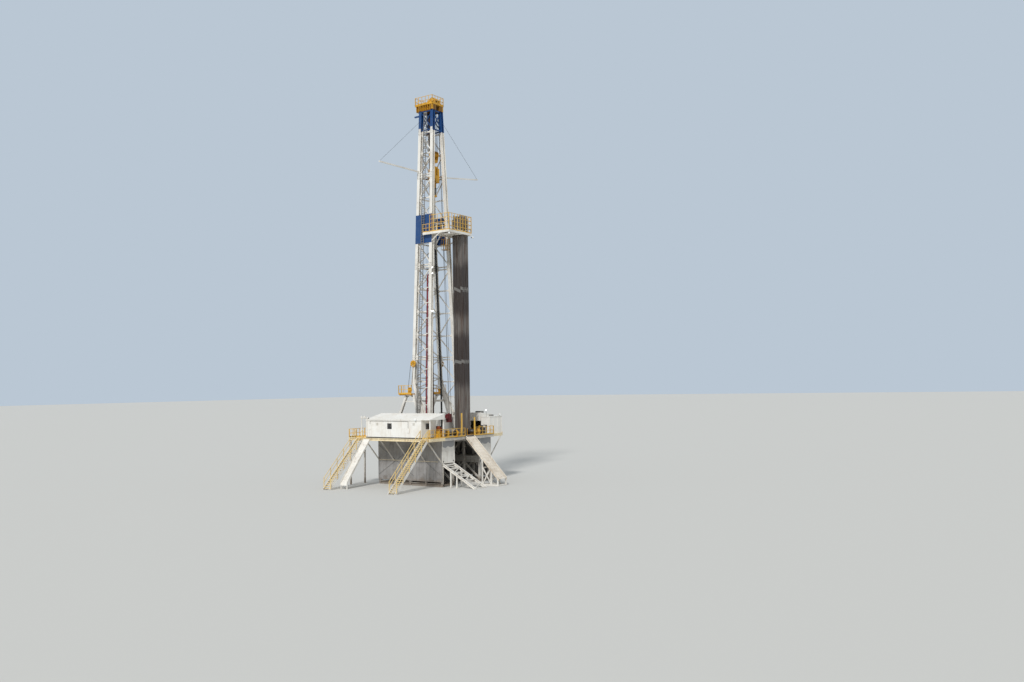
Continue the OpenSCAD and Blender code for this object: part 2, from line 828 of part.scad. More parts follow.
// The front and rear legs of one side between two heights
module leg_pair(side, h0, h1) {
    flange_beam(front_at(side, h0 + fit_gap), front_at(side, h1), leg, leg, leg_t, [0, 1, 0]);
    flange_beam(rear_at(side, h0 + fit_gap), rear_at(side, h1), leg, leg, leg_t, [0, 1, 0]);
}

// Girts at the levels and one diagonal in each bay between them, turning at every girt
module side_lattice(side, levels) {
    for (h = levels)
        bar(front_at(side, h), rear_at(side, h), girt, girt);
    for (i = [0 : len(levels) - 2])
        if (levels[i + 1] - levels[i] > 3 * girt)
            if (i % 2 == 0)
                bar(front_at(side, levels[i]), rear_at(side, levels[i + 1]), diag, diag, [0, 1, 0]);
            else
                bar(rear_at(side, levels[i]), front_at(side, levels[i + 1]), diag, diag, [0, 1, 0]);
}

// Lowest part of a side: the rear leg slants in to the front leg's foot on one base plate
module mast_lower(side) {
    in_pad = 20;
    gusset = 340;
    foot = front_at(side, 0);
    knee = rear_at(side, knee_h);
    flange_beam(front_at(side, in_pad), front_at(side, joint_1), leg, leg, leg_t, [0, 1, 0]);
    intersection() {
        flange_beam(foot, knee, leg, leg, leg_t, [0, 1, 0]);
        block([-2 * rear_foot, -2 * foot_y, floor_h + in_pad], [front_foot + leg, 2 * foot_y, floor_h + mast_h]);
    }
    flange_beam(knee, rear_at(side, joint_1), leg, leg, leg_t, [0, 1, 0]);
    bar(knee - [0, 0, gusset / 2], knee + [0, 0, gusset / 2], gusset, leg - 2 * leg_t, [0, 1, 0]);
    block(foot - [leg, leg * 0.75, 0], foot + [leg, leg * 0.75, shoe_t]);
    side_lattice(side, low_levels);
}

module mast_near_lower() {
    color("white")
        mast_lower(near);
}

module mast_near_middle() {
    color("white") {
        leg_pair(near, joint_1, joint_2);
        side_lattice(near, mid_girts);
    }
}

module mast_near_upper() {
    color("white") {
        leg_pair(near, joint_2, crown_from);
        side_lattice(near, top_levels);
    }
}

module mast_far_lower() {
    color("white")
        mast_lower(far);
}

module mast_far_middle() {
    color("white") {
        leg_pair(far, joint_1, joint_2);
        side_lattice(far, mid_girts);
    }
}

module mast_far_upper() {
    color("white") {
        leg_pair(far, joint_2, crown_from);
        side_lattice(far, top_levels);
    }
}

// Girts and crossed diagonals between the rear legs, cut off at the legs' inner faces, which
// turn a little below the knee
module back_lattice(levels) {
    inner = leg / 2 / cos(atan2(foot_y - top_y, mast_h)) + fit_gap;
    knee_y = half_y(knee_h) - inner;
    knee_gap = 0.8;
    intersection() {
        union() {
            for (h = levels)
                bar(rear_at(near, h), rear_at(far, h), girt, girt);
            for (i = [0 : len(levels) - 2])
                if (levels[i + 1] - levels[i] > 3 * girt)
                    for (side = [near, far])
                        bar(rear_at(side, levels[i]), rear_at(-side, levels[i + 1]), diag, diag, [1, 0, 0]);
        }
        translate([-2 * rear_foot, 0, floor_h])
            rotate([90, 0, 90])
                linear_extrude(3 * rear_foot)
                    polygon([[-foot_y + inner + knee_gap, 0], [foot_y - inner - knee_gap, 0],
                             [knee_y - knee_gap, knee_h], [knee_y, knee_h], [top_y - inner, mast_h],
                             [-top_y + inner, mast_h], [-knee_y, knee_h], [-knee_y + knee_gap, knee_h]]);
    }
}

module mast_back_lower() {
    color("white")
        back_lattice(concat([knee_h - 420, knee_h + 250, joint_1 - girt], mid_girts));
}

module mast_back_upper() {
    color("white")
        back_lattice(top_levels);
}

// Top of the mast: legs, rings and crossed braces on all four faces, with a short stub to the rear
module crown_section() {
    ring = [crown_from + girt, mast_h - girt / 2];
    stub_h = mast_h - 280;
    stub_len = 560;
    color("royalblue") {
        for (side = [near, far]) {
            leg_pair(side, crown_from, mast_h - 8);
            for (h = ring)
                bar(front_at(side, h), rear_at(side, h), girt, girt);
            bar(front_at(side, ring[0]), rear_at(side, ring[1]), diag, diag, [0, 1, 0]);
            bar(rear_at(side, ring[0]), front_at(side, ring[1]), diag, diag, [0, 1, 0]);
            bar(front_at(side, ring[0]), front_at(-side, ring[1]), diag, diag, [1, 0, 0]);
            bar(rear_at(side, ring[0]), rear_at(-side, ring[1]), diag, diag, [1, 0, 0]);
        }
        for (h = ring) {
            bar(front_at(near, h), front_at(far, h), girt, girt);
            bar(rear_at(near, h), rear_at(far, h), girt, girt);
        }
        bar(rear_at(near, stub_h), rear_at(near, stub_h) - [stub_len, 0, 0], 90, 90);
    }
}

// Sheets over the sides at racking board height
panel_h0 = board_h - 650;
panel_h1 = board_h + 1250;
panel_t = 15;

module mast_side_panels() {
    out = leg / 2 + panel_t / 2 + 2 * fit_gap;
    color("royalblue")
        for (side = [near, far])
            bar(panel_mid(side, panel_h0, out), panel_mid(side, panel_h1, out),
                front_x(panel_h0) - rear_x(panel_h0) + leg - 10, panel_t, [0, 1, 0]);
}

function panel_mid(side, h, out) = [(front_x(h) + rear_x(h)) / 2, side * (half_y(h) + out), floor_h + h];

// Ladder up the near side: two stiles and its rungs, standing clear of the panel on brackets
ladder_w = 250;
ladder_x = -205;
rung_gap = 150;
ladder_off = leg / 2 + 75;
ladder_d = 30;
ladder_stile = 36;

module mast_ladder() {
    rung = 24;
    length = mast_h - 150;
    low = [ladder_x, near * (half_y(2) + ladder_off), floor_h + 2];
    high = [ladder_x, near * (half_y(length) + ladder_off), floor_h + length];
    count = floor(norm(high - low) / rung_gap) - 1;
    color("gainsboro") {
        along(low, high, [0, 1, 0])
            translate([-ladder_w / 2, -ladder_d / 2, 0])
                rotate([90, 0, 0])
                    mirror([0, 0, 1])
                        linear_extrude(ladder_d)
                            difference() {
                                square([ladder_w, norm(high - low)]);
                                for (i = [0 : count])
                                    translate([ladder_stile, 60 + i * rung_gap])
                                        square([ladder_w - 2 * ladder_stile, rung_gap - rung]);
                            }
        for (h = [knee_h, each mid_girts, each [for (t = top_levels) if (t < panel_h0 || t > panel_h1) t]])
            ladder_bracket(h);
    }
}

// Two lugs from the side girt at height h out to the ladder's stiles
module ladder_bracket(h) {
    lug = [20, 16];
    y0 = -half_y(h) - ladder_off + ladder_d / 2 + 3 * fit_gap;
    for (x = [ladder_x - ladder_w / 2 + ladder_stile / 2, ladder_x + ladder_w / 2 - ladder_stile / 2])
        block([x - lug.x / 2, y0, floor_h + h - lug.y / 2],
              [x + lug.x / 2, -half_y(h) - girt / 2 - fit_gap, floor_h + h + lug.y / 2]);
}

// Standpipe up the near side beside the front leg, its gooseneck bent over into the mast
standpipe_d = 100;
standpipe_h = 10350;

module standpipe() {
    bend = 150;
    inset = leg * 0.75;
    off = leg / 2 + standpipe_d / 2 + 5;
    start = shoe_t + fit_gap;
    foot = [front_x(0) - inset, -half_y(0) - off, floor_h];
    head = [front_x(standpipe_h) - inset, -half_y(standpipe_h) - off, floor_h + standpipe_h];
    length = norm(head - foot);
    color("firebrick")
        difference() {
            along(foot, head, [0, 1, 0]) {
                cylinder(h = length, d = standpipe_d, $fn = 24);
                translate([0, bend, length])
                    rotate([90, 0, 90])
                        rotate_extrude(angle = 180, $fn = 48)
                            translate([bend, 0])
                                circle(d = standpipe_d, $fn = 24);
            }
            block(foot - [200, 200, 200], [foot.x + 200, foot.y + 200, floor_h + start]);
        }
}

crown_bearer = 360;
crown_plate_t = 50;
crown_x0 = -1110;
crown_x1 = 385;
crown_y = 600;
crown_top = floor_h + mast_h + crown_bearer + crown_plate_t;
sheave_r = 205;
well_slot = [sheave_r + 60, 190];
crown_axle_z = crown_top + 270;
line_x = sheave_r + line_d * 0.6;

// Crown platform on four bearers, with a slot over the well for the lines
module crown_platform() {
    z = floor_h + mast_h;
    z1 = crown_top - crown_plate_t;
    bearer_w = 110;
    color("gold") {
        difference() {
            block([crown_x0, -crown_y, z1], [crown_x1, crown_y, crown_top]);
            block([-well_slot[0], -well_slot[1], z1 - 1], [well_slot[0], well_slot[1], crown_top + 1]);
        }
        both_sides()
            for (y = [top_y, well_slot[1] + bearer_w / 2])
                block([crown_x0, y - bearer_w / 2, z], [crown_x1, y + bearer_w / 2, z1 + 1]);
        both_sides()
            for (x = [-rear_top, front_top])
                block([x - bearer_w / 2, well_slot[1], z], [x + bearer_w / 2, crown_y, z1 + 1]);
    }
}

// Sheave pack of the crown on two bearers, with its guard
module crown_block() {
    cheek = 60;
    reach = well_slot[0] + 60;
    color("gold") {
        for (y = [-well_slot[1] - cheek, well_slot[1]])
            block([-reach, y, crown_top], [reach, y + cheek, crown_axle_z + cheek]);
        for (k = [0 : lines / 2 - 1])
            sheave([0, sheave_y(k), crown_axle_z], sheave_r, 46);
        translate([0, well_slot[1] + cheek + 10, crown_axle_z])
            rotate([90, 0, 0])
                cylinder(h = 2 * (well_slot[1] + cheek + 10), d = 90, $fn = 32);
    }
}

function sheave_y(k) = (k - (lines / 2 - 1) / 2) * 70;

// A grooved wheel on an axis across the rig
module sheave(centre, r, w) {
    groove = line_d * 0.7;
    translate(centre)
        rotate([90, 0, 0])
            rotate_extrude($fn = 64)
                polygon([[0, -w / 2], [r + groove, -w / 2], [r, 0], [r + groove, w / 2], [0, w / 2]]);
}

// Racking board: outer frame, walkway and the fingers that hold the stands
board_back = front_x(board_h) + leg / 2 + 12;
walk_y = 250;
side_w = 60;
finger_w = 14;
finger_d = 50;
strut_h = board_h - 600;
strut_x = 1340;
wing_x = -50;
function finger_x(i) = stand_x + (i - 0.5) * pipe_pitch;

module racking_board() {
    z1 = floor_h + board_h;
    z0 = z1 - board_d;
    strut_foot = [front_x(strut_h), flange_y(strut_h), floor_h + strut_h];
    strut_head = [strut_x, board_y - side_w / 2, z0];
    strut_more = (strut_head - strut_foot) * 0.08;
    lug_y = flange_y(board_h);
    color("white") {
        difference() {
            block([board_back, -board_y, z0], [board_x, board_y, z1]);
            both_sides()
                block([board_back + side_w, walk_y + side_w, z0 - 1],
                      [board_x - side_w, board_y - side_w, z1 + 1]);
            block([board_back + side_w, -walk_y, z0 - 1], [board_x - side_w, walk_y, z1 - 12]);
        }
        both_sides()
            block([board_back + side_w - 1, walk_y + side_w - 1, z1 - 12],
                  [finger_x(0) - 80, board_y - side_w + 1, z1]);
        block([wing_x, -board_y, z0], [board_back + 1, -board_y + 140, z1]);
        intersection() {
            both_sides()
                bar(strut_foot - strut_more, strut_head + strut_more, board_foot_w, 60);
            board_front(board_h - board_d + 1);
        }
        intersection() {
            both_sides()
                block([board_back - 30, lug_y - board_foot_w / 2, z0 + 25],
                      [board_back + 1, lug_y + board_foot_w / 2, z1 - 25]);
            board_front(board_h);
        }
    }
}

// Fingers between the walkway and the board's sides, one each side of every row of stands
module racking_fingers() {
    z1 = floor_h + board_h;
    color("dimgray")
        both_sides()
            for (i = [0 : stand_rows])
                block([finger_x(i) - finger_w / 2, walk_y + side_w, z1 - finger_d],
                      [finger_x(i) + finger_w / 2, board_y - side_w, z1]);
}

// Where the board's struts and lugs meet the legs, just inside the legs' outer faces
board_foot_w = 50;
function flange_y(h) = half_y(h) + leg / 2 - board_foot_w / 2 - 8;

// The space in front of the legs' front faces, up to a height above the floor
module board_front(top_h) {
    face = leg / 2 + fit_gap;
    translate([0, 2 * board_y, floor_h])
        rotate([90, 0, 0])
            linear_extrude(4 * board_y)
                polygon([[front_foot + face, 0], [2 * board_x, 0], [2 * board_x, top_h],
                         [front_x(top_h) + face, top_h]]);
}

// Handrails of the racking board and its wing, the crown platform and the two sheave platforms
module upper_rails() {
    in = rail_d / 2;
    tall = 1100;
    z = floor_h + board_h;
    color("gold") {
        rail_frame([board_back, -board_y, z], [board_x, board_y], [1, 1, 1, 0], tall, 4);
        rail_run([wing_x + in, -board_y + in, z], [board_back - rail_d - panel_gap, -board_y + in, z], 3);
        rail_frame([crown_x0, -crown_y, crown_top], [crown_x1, crown_y], [1, 1, 1, 1]);
        rail_frame([plat_x0, -foot_y - plat_half, plat_top], [plat_x1, -foot_y + plat_half], [1, 0, 0, 1]);
        rail_frame([plat_x0, foot_y - plat_half, plat_top], [plat_x1, foot_y + plat_half], [0, 0, 1, 1]);
    }
}

// Separate rail panels along a rectangle's chosen edges: low y, high x, high y, low x
module rail_frame(a, b, edges, h = rail_h, rails = 2) {
    in = rail_d / 2;
    clear = rail_d + panel_gap;
    post_gap = 320;
    corners = [[[a.x + in, a.y + in], [b.x - in, a.y + in]],
               [[b.x - in, a.y + in + clear], [b.x - in, b.y - in - clear]],
               [[b.x - in, b.y - in], [a.x + in, b.y - in]],
               [[a.x + in, b.y - in - clear], [a.x + in, a.y + in + clear]]];
    for (i = [0 : 3])
        if (edges[i] > 0)
            rail_run(concat(corners[i][0], a.z), concat(corners[i][1], a.z),
                     ceil(norm(corners[i][1] - corners[i][0]) / post_gap) + 1, h, rails);
}

near_root = rear_at(near, boom_h + near_boom_up) - [0, leg / 2, 0];
near_tip = near_root - [0, near_boom_len, 0];
far_root = front_at(far, boom_h) + [0, leg / 2, 0];
far_tip = far_root + [0, boom_len, boom_lift];

// Side booms at the upper joint, cut off along the legs' outer faces
module booms() {
    far_start = far_root + [0, boom_seat, 0];
    back = unit(far_start - far_tip) * boom_tube;
    outer = leg / 2 / cos(atan2(foot_y - top_y, mast_h)) + 2 * fit_gap;
    color("white")
        intersection() {
            union() {
                bar(near_root + [0, boom_tube, 0], near_tip, boom_tube, boom_tube);
                bar(far_start + back, far_tip, boom_tube, boom_tube);
            }
            both_sides()
                translate([-2 * rear_foot, 0, floor_h])
                    rotate([90, 0, 90])
                        linear_extrude(4 * rear_foot)
                            polygon([[foot_y + outer, 0], [2 * plat_out, 0], [2 * plat_out, mast_h],
                                     [top_y + outer, mast_h]]);
        }
}

// Stays from the crown section down to the booms' tips
module boom_stays() {
    stay = 14;
    head_h = crown_from + 700;
    lift = [0, 0, boom_tube / 2 + 5.6];
    color("dimgray") {
        round_bar(near_tip + [0, 60, 0] + lift, rear_at(near, head_h) - [0, leg / 2 + 4, 0], stay, [1, 0, 0], 8);
        round_bar(far_tip - [0, 60, 8] + lift, front_at(far, head_h) + [0, leg / 2 + 4, 0], stay, [1, 0, 0], 8);
    }
}

frame_h = 2700;
frame_w = 150;
frame_top = [-1250, -715];
frame_foot = [-2530, 210];
tie_share = 0.83;
function frame_x(k, s) = frame_foot[k] + (frame_top[k] - frame_foot[k]) * s;
function frame_at(k, side, s) = [frame_x(k, s), side * foot_y, floor_h + frame_h * s];

// Rear frame for raising the mast: two slanted legs on base plates, with a head and two cross bars
module raising_frame(side) {
    y = side * foot_y;
    z0 = floor_h;
    pad = 30;
    head_w = frame_w + 20;
    intersection() {
        union() {
            for (k = [0, 1])
                bar(frame_at(k, side, -0.03), frame_at(k, side, 0.978), frame_w, frame_w, [0, 1, 0]);
            for (s = [0.35, tie_share])
                bar(frame_at(0, side, s), frame_at(1, side, s), 70, 70);
        }
        block([-2 * floor_back, -2 * foot_y, z0 + pad / 2], [floor_fore, 2 * foot_y, z0 + frame_h]);
    }
    block([frame_top[0] - 110, y - head_w / 2, z0 + frame_h - 120],
          [frame_top[1] + 90, y + head_w / 2, z0 + frame_h]);
    for (k = [0, 1])
        block([frame_foot[k] - 160, y - 120, z0], [frame_foot[k] + 160, y + 120, z0 + pad]);
}

module raising_frame_near() {
    color("white")
        raising_frame(near);
}

module raising_frame_far() {
    color("white")
        raising_frame(far);
}

// Bar across the rig between the two raising frames' front legs
module raising_tie() {
    reach = foot_y - frame_w / 2;
    tie_w = 130;
    color("white")
        bar([frame_x(1, tie_share), -reach, floor_h + frame_h * tie_share],
            [frame_x(1, tie_share), reach, floor_h + frame_h * tie_share], tie_w, tie_w);
}

plat_x0 = -1785;
plat_x1 = -660;
plat_half = 260;
plat_top = floor_h + frame_h + 60;

// Radius and width of the raising line's sheaves, and their pins' diameter
raise_sheave_r = 150;
raise_sheave_w = 60;
raise_pin_d = 60;

// Platforms on the raising frames, each with a sheave on two cheeks
module sheave_platforms() {
    sheave_x = plat_x0 + 785;
    axle_z = plat_top + 240;
    cheek = [160, 20, 300];
    inner = raise_sheave_w / 2 + 20;
    color("gold")
        for (y = [-foot_y, foot_y]) {
            block([plat_x0, y - plat_half, floor_h + frame_h], [plat_x1, y + plat_half, plat_top]);
            for (dy = [-inner - cheek.y, inner])
                block([sheave_x - cheek.x / 2, y + dy, plat_top - 1],
                      [sheave_x + cheek.x / 2, y + dy + cheek.y, plat_top + cheek.z]);
            sheave([sheave_x, y, axle_z], raise_sheave_r, raise_sheave_w);
            translate([sheave_x, y + inner + 30, axle_z])
                rotate([90, 0, 0])
                    cylinder(h = 2 * inner + 60, d = raise_pin_d, $fn = 24);
        }
}

// Sheaves on pins at the outer faces of the rear mast legs
module leg_sheaves() {
    h = 4700;
    r = 200;
    gap = 12;
    face_y = half_y(h) + leg / 2 + 2;
    color("gold")
        both_sides()
            union() {
                sheave([rear_x(h), face_y + gap + raise_sheave_w / 2, floor_h + h], r, raise_sheave_w);
                translate([rear_x(h), face_y + gap + raise_sheave_w + 20, floor_h + h])
                    rotate([90, 0, 0])
                        cylinder(h = gap + raise_sheave_w + 20, d = raise_pin_d, $fn = 24);
            }
}

// Guide rail of the top drive, held off the back girts by brackets
rail_x0 = -400;
rail_x1 = -300;
guide_y = 65;

module guide_rail() {
    levels = concat([knee_h + 250], [for (h = mid_girts) h], [joint_3 - girt, crown_from - girt]);
    color("saddlebrown") {
        block([rail_x0, -guide_y, floor_h + 700], [rail_x1, guide_y, floor_h + mast_h]);
        for (h = levels)
            block([rear_x(h) + girt / 2, -40, floor_h + h - 30], [rail_x0 + 1, 40, floor_h + h + 30]);
    }
}

// From the travelling block's top to its axle
block_top = 350;

// Travelling block: two cheeks round its sheaves, a top bridge and the becket below
module travelling_block() {
    z = floor_h + block_z;
    cheek = 40;
    axle_z = z + block_h - block_top;
    color("gold") {
        for (y = [-block_w / 2, block_w / 2 - cheek])
            translate([0, y + cheek, z])
                rotate([90, 0, 0])
                    linear_extrude(cheek)
                        hull() {
                            translate([0, block_h - block_top])
                                circle(r = sheave_r + 15, $fn = 32);
                            translate([-120, 60])
                                square([240, 10]);
                        }
        for (k = [0 : lines / 2 - 1])
            sheave([0, sheave_y(k), axle_z], sheave_r, 46);
        translate([0, block_w / 2 - 1, axle_z])
            rotate([90, 0, 0])
                cylinder(h = block_w - 2, d = 90, $fn = 32);
        block([-110, -block_w / 2 + 1, z], [110, block_w / 2 - 1, z + 160]);
    }
}

// Top drive: motor body, gearbox, quill and pipe handler with its links, carried by the block's hook
module top_drive() {
    z = floor_h + drive_z;
    links_h = 620;
    top = drive_h;
    hook = block_z - drive_z;
    color("goldenrod") {
        block([-180, -230, z + links_h + 300], [260, 230, z + links_h + 760]);
        block([-150, -260, z + links_h + 760 - 1], [230, -60, z + top - 120]);
        block([-150, 60, z + links_h + 760 - 1], [230, 260, z + top - 120]);
        block([-150, -200, z + top - 121], [180, 200, z + top]);
        translate([0, 0, z + links_h - 120])
            cylinder(h = 421, d = 230, $fn = 48);
        translate([0, 0, z + top - 1])
            cylinder(h = hook - top + 1, d = 120, $fn = 32);
        for (y = [-150, 150]) {
            round_bar([0, y, z + 40], [0, y, z + links_h + 301], 44, [1, 0, 0]);
        }
        block([-70, -190, z], [70, 190, z + 90]);
        carriage(z + links_h + 250, 1000);
    }
}

// Carriage of the top drive round three sides of the guide rail
module carriage(z, h) {
    cheek_t = 30;
    block([rail_x1 + rail_gap, -guide_y - rail_gap - cheek_t, z], [-150, guide_y + rail_gap + cheek_t, z + h]);
    for (y = [-guide_y - rail_gap - cheek_t, guide_y + rail_gap])
        block([rail_x0, y, z], [rail_x1 + rail_gap + 1, y + cheek_t, z + h]);
}

// Parts of the drilling line between the crown's and the block's sheaves
module drilling_lines() {
    z0 = floor_h + block_z + block_h - block_top;
    color("dimgray")
        for (k = [0 : lines / 2 - 1], x = [-line_x, line_x])
            translate([x, sheave_y(k), z0])
                cylinder(h = crown_axle_z - z0, d = line_d, $fn = 12);
}

translate(shift) base_box_near();
translate(shift) base_box_far();
translate(shift) upper_box_near();
translate(shift) upper_box_far();
translate(shift) spreader_beams();
translate(shift) floor_beams();
translate(shift) drill_floor();
translate(shift) rotary_table();
translate(shift) near_platform();
translate(shift) far_platform();
translate(shift) platform_braces();
translate(shift) wind_walls();
translate(shift) box_end_panels();
translate(shift) doghouse_walls();
translate(shift) doghouse_roof();
translate(shift) doghouse_glass();
translate(shift) doghouse_door();
translate(shift) canopy();
translate(shift) far_house_walls();
translate(shift) far_house_roof();
translate(shift) vdoor_ramp();
translate(shift) ramp_support();
translate(shift) side_ramp_frame();
translate(shift) stair_stringers();
translate(shift) front_stair_treads();
translate(shift) rear_stair_treads();
translate(shift) stair_rails();
translate(shift) escape_slide();
translate(shift) floor_rails();
translate(shift) vdoor_posts();
translate(shift) floor_wrench();
translate(shift) pipe_stands();
translate(shift) mast_near_lower();
translate(shift) mast_near_middle();
translate(shift) mast_near_upper();
translate(shift) mast_far_lower();
translate(shift) mast_far_middle();
translate(shift) mast_far_upper();
translate(shift) mast_back_lower();
translate(shift) mast_back_upper();
translate(shift) crown_section();
translate(shift) mast_side_panels();
translate(shift) mast_ladder();
translate(shift) standpipe();
translate(shift) crown_platform();
translate(shift) crown_block();
translate(shift) racking_board();
translate(shift) racking_fingers();
translate(shift) upper_rails();
translate(shift) booms();
translate(shift) boom_stays();
translate(shift) raising_frame_near();
translate(shift) raising_frame_far();
translate(shift) raising_tie();
translate(shift) sheave_platforms();
translate(shift) leg_sheaves();
translate(shift) guide_rail();
translate(shift) travelling_block();
translate(shift) top_drive();
translate(shift) drilling_lines();
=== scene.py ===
import bmesh
import bpy
import math
from mathutils import Matrix, Vector

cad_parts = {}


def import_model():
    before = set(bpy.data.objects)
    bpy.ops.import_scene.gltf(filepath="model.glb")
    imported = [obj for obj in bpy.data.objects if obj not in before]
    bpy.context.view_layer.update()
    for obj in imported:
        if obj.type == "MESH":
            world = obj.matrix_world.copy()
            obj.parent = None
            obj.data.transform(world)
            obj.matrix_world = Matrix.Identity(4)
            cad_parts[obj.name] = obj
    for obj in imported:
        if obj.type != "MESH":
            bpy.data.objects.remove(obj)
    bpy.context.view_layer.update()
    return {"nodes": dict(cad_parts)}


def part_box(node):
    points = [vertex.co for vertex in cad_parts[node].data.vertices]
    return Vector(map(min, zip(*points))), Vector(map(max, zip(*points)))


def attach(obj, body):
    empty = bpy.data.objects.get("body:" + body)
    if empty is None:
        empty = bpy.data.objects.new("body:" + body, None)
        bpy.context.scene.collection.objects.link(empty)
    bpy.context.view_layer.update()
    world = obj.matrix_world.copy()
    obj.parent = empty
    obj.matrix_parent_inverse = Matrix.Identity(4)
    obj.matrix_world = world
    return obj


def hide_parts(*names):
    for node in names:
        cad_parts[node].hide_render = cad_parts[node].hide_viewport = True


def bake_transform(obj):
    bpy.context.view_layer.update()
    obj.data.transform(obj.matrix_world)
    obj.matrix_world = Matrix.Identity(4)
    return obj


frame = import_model()
nodes = frame["nodes"]
print("frame loaded:", len(nodes), "nodes")

# The well's middle and the floor's top give every other place, in the model's own metres
tableLow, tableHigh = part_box("rotary_table")
wellX = (tableLow.x + tableHigh.x) / 2
wellY = (tableLow.y + tableHigh.y) / 2
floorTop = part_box("drill_floor")[1].z
axisX, axisY, axisZ = Vector((1, 0, 0)), Vector((0, 1, 0)), Vector((0, 0, 1))
upright, alongX, alongY = (0, 0, 0), (0, math.pi / 2, 0), (math.pi / 2, 0, 0)


def rig(x, y, z):  # z counts from the ground
    return Vector((wellX + x, wellY + y, z))


def above(x, y, h):  # h counts from the drill floor
    return Vector((wellX + x, wellY + y, floorTop + h))


def world(x, y, z):
    return Vector((x, y, z))


def srgb(r, g, b):
    def linear(v):
        v /= 255
        return v / 12.92 if v <= 0.04045 else ((v + 0.055) / 1.055) ** 2.4
    return linear(r), linear(g), linear(b), 1.0


# Camera: the photograph's place, heading and lens, with its slight lean
view = {"width": 1024, "focal": 934.0, "sensor": 36.0, "eye": (39.448, -47.609, 6.2),
        "heading": 35.0, "pitch": 2.75, "lean": 0.9, "reach": 2000}


def makeCamera():
    heading, pitch, lean = (math.radians(view[k]) for k in ("heading", "pitch", "lean"))
    right = Vector((math.cos(heading), math.sin(heading), 0))
    level = Vector((-math.sin(heading), math.cos(heading), 0))
    forward = level * math.cos(pitch) + axisZ * math.sin(pitch)
    up = right.cross(forward)
    leanRight = right * math.cos(lean) - up * math.sin(lean)
    leanUp = up * math.cos(lean) + right * math.sin(lean)
    camera = bpy.data.objects.new("camera", bpy.data.cameras.new("camera"))
    camera.data.sensor_width = view["sensor"]
    camera.data.lens = view["focal"] / view["width"] * view["sensor"]
    camera.data.clip_end = view["reach"]
    turned = Matrix((leanRight, leanUp, -forward)).transposed().to_4x4()
    camera.matrix_world = Matrix.Translation(rig(*view["eye"])) @ turned
    bpy.context.scene.collection.objects.link(camera)
    bpy.context.scene.camera = camera


makeCamera()


# Small helpers for node trees
def feed(tree, socket, value):
    if isinstance(value, bpy.types.NodeSocket):
        tree.links.new(value, socket)
    else:
        socket.default_value = value


def calc(tree, operation, a, b=0.0, clamp=False):
    node = tree.nodes.new("ShaderNodeMath")
    node.operation = operation
    node.use_clamp = clamp
    feed(tree, node.inputs[0], a)
    feed(tree, node.inputs[1], b)
    return node.outputs[0]


def times(tree, a, b, clamp=False):
    return calc(tree, "MULTIPLY", a, b, clamp)


def plus(tree, a, b):
    return calc(tree, "ADD", a, b)


def minus(tree, a, b):
    return calc(tree, "SUBTRACT", a, b)


def vectorCalc(tree, operation, a, b=None):
    node = tree.nodes.new("ShaderNodeVectorMath")
    node.operation = operation
    feed(tree, node.inputs[0], a)
    if b is not None:
        feed(tree, node.inputs["Scale" if operation == "SCALE" else 1], b)
    return node.outputs[0]


def splitAxes(tree, vector):
    node = tree.nodes.new("ShaderNodeSeparateXYZ")
    tree.links.new(vector, node.inputs[0])
    return node.outputs


def noise(tree, vector, scale, detail=3.0, roughness=0.55, stretch=None):
    node = tree.nodes.new("ShaderNodeTexNoise")
    feed(tree, node.inputs["Vector"], vectorCalc(tree, "MULTIPLY", vector, stretch) if stretch else vector)
    feed(tree, node.inputs["Scale"], scale)
    node.inputs["Detail"].default_value = detail
    node.inputs["Roughness"].default_value = roughness
    return node.outputs["Fac"]


def step(tree, value, low, high):  # 0 below low, 1 above high
    node = tree.nodes.new("ShaderNodeMapRange")
    node.interpolation_type = "SMOOTHSTEP"
    feed(tree, node.inputs["Value"], value)
    feed(tree, node.inputs["From Min"], low)
    feed(tree, node.inputs["From Max"], high)
    return node.outputs["Result"]


def mixColour(tree, share, a, b):
    node = tree.nodes.new("ShaderNodeMix")
    node.data_type = "RGBA"
    for socket, value in zip((0, 6, 7), (share, a, b)):
        feed(tree, node.inputs[socket], value)
    return node.outputs[2]


# Soft sky, one low sun and a pale floor
studio = {"backdrop": srgb(186, 199, 212), "skyLight": (0.86, 0.93, 1.0, 1.0), "skyStrength": 0.62,
          "sunStrength": 2.5, "sunSize": 9.0, "sunAzimuth": -72.0, "sunHeight": 42.0,
          "floorSize": 900.0, "floorDrop": 0.004, "floorColour": srgb(196, 194, 188), "floorRoughness": 0.9}


def makeWorld():
    sky = bpy.data.worlds.new("studio")
    sky.use_nodes = True
    tree = sky.node_tree
    tree.nodes.clear()
    ray = tree.nodes.new("ShaderNodeLightPath").outputs
    seen = calc(tree, "MAXIMUM", ray["Is Camera Ray"], ray["Is Glossy Ray"])
    mix = tree.nodes.new("ShaderNodeMixShader")
    tree.links.new(calc(tree, "MAXIMUM", seen, ray["Is Transmission Ray"]), mix.inputs[0])
    for i, (colour, strength) in enumerate(((studio["skyLight"], studio["skyStrength"]), (studio["backdrop"], 1.0))):
        light = tree.nodes.new("ShaderNodeBackground")
        light.inputs["Color"].default_value = colour
        light.inputs["Strength"].default_value = strength
        tree.links.new(light.outputs[0], mix.inputs[i + 1])
    tree.links.new(mix.outputs[0], tree.nodes.new("ShaderNodeOutputWorld").inputs["Surface"])
    bpy.context.scene.world = sky


def makeSun():
    azimuth, height = math.radians(studio["sunAzimuth"]), math.radians(studio["sunHeight"])
    level = Vector((math.cos(azimuth), math.sin(azimuth), 0))
    source = level * math.cos(height) + axisZ * math.sin(height)
    lamp = bpy.data.lights.new("softSun", "SUN")
    lamp.energy = studio["sunStrength"]
    lamp.angle = math.radians(studio["sunSize"])
    sun = bpy.data.objects.new("softSun", lamp)
    sun.rotation_euler = source.to_track_quat("Z", "Y").to_euler()
    bpy.context.scene.collection.objects.link(sun)


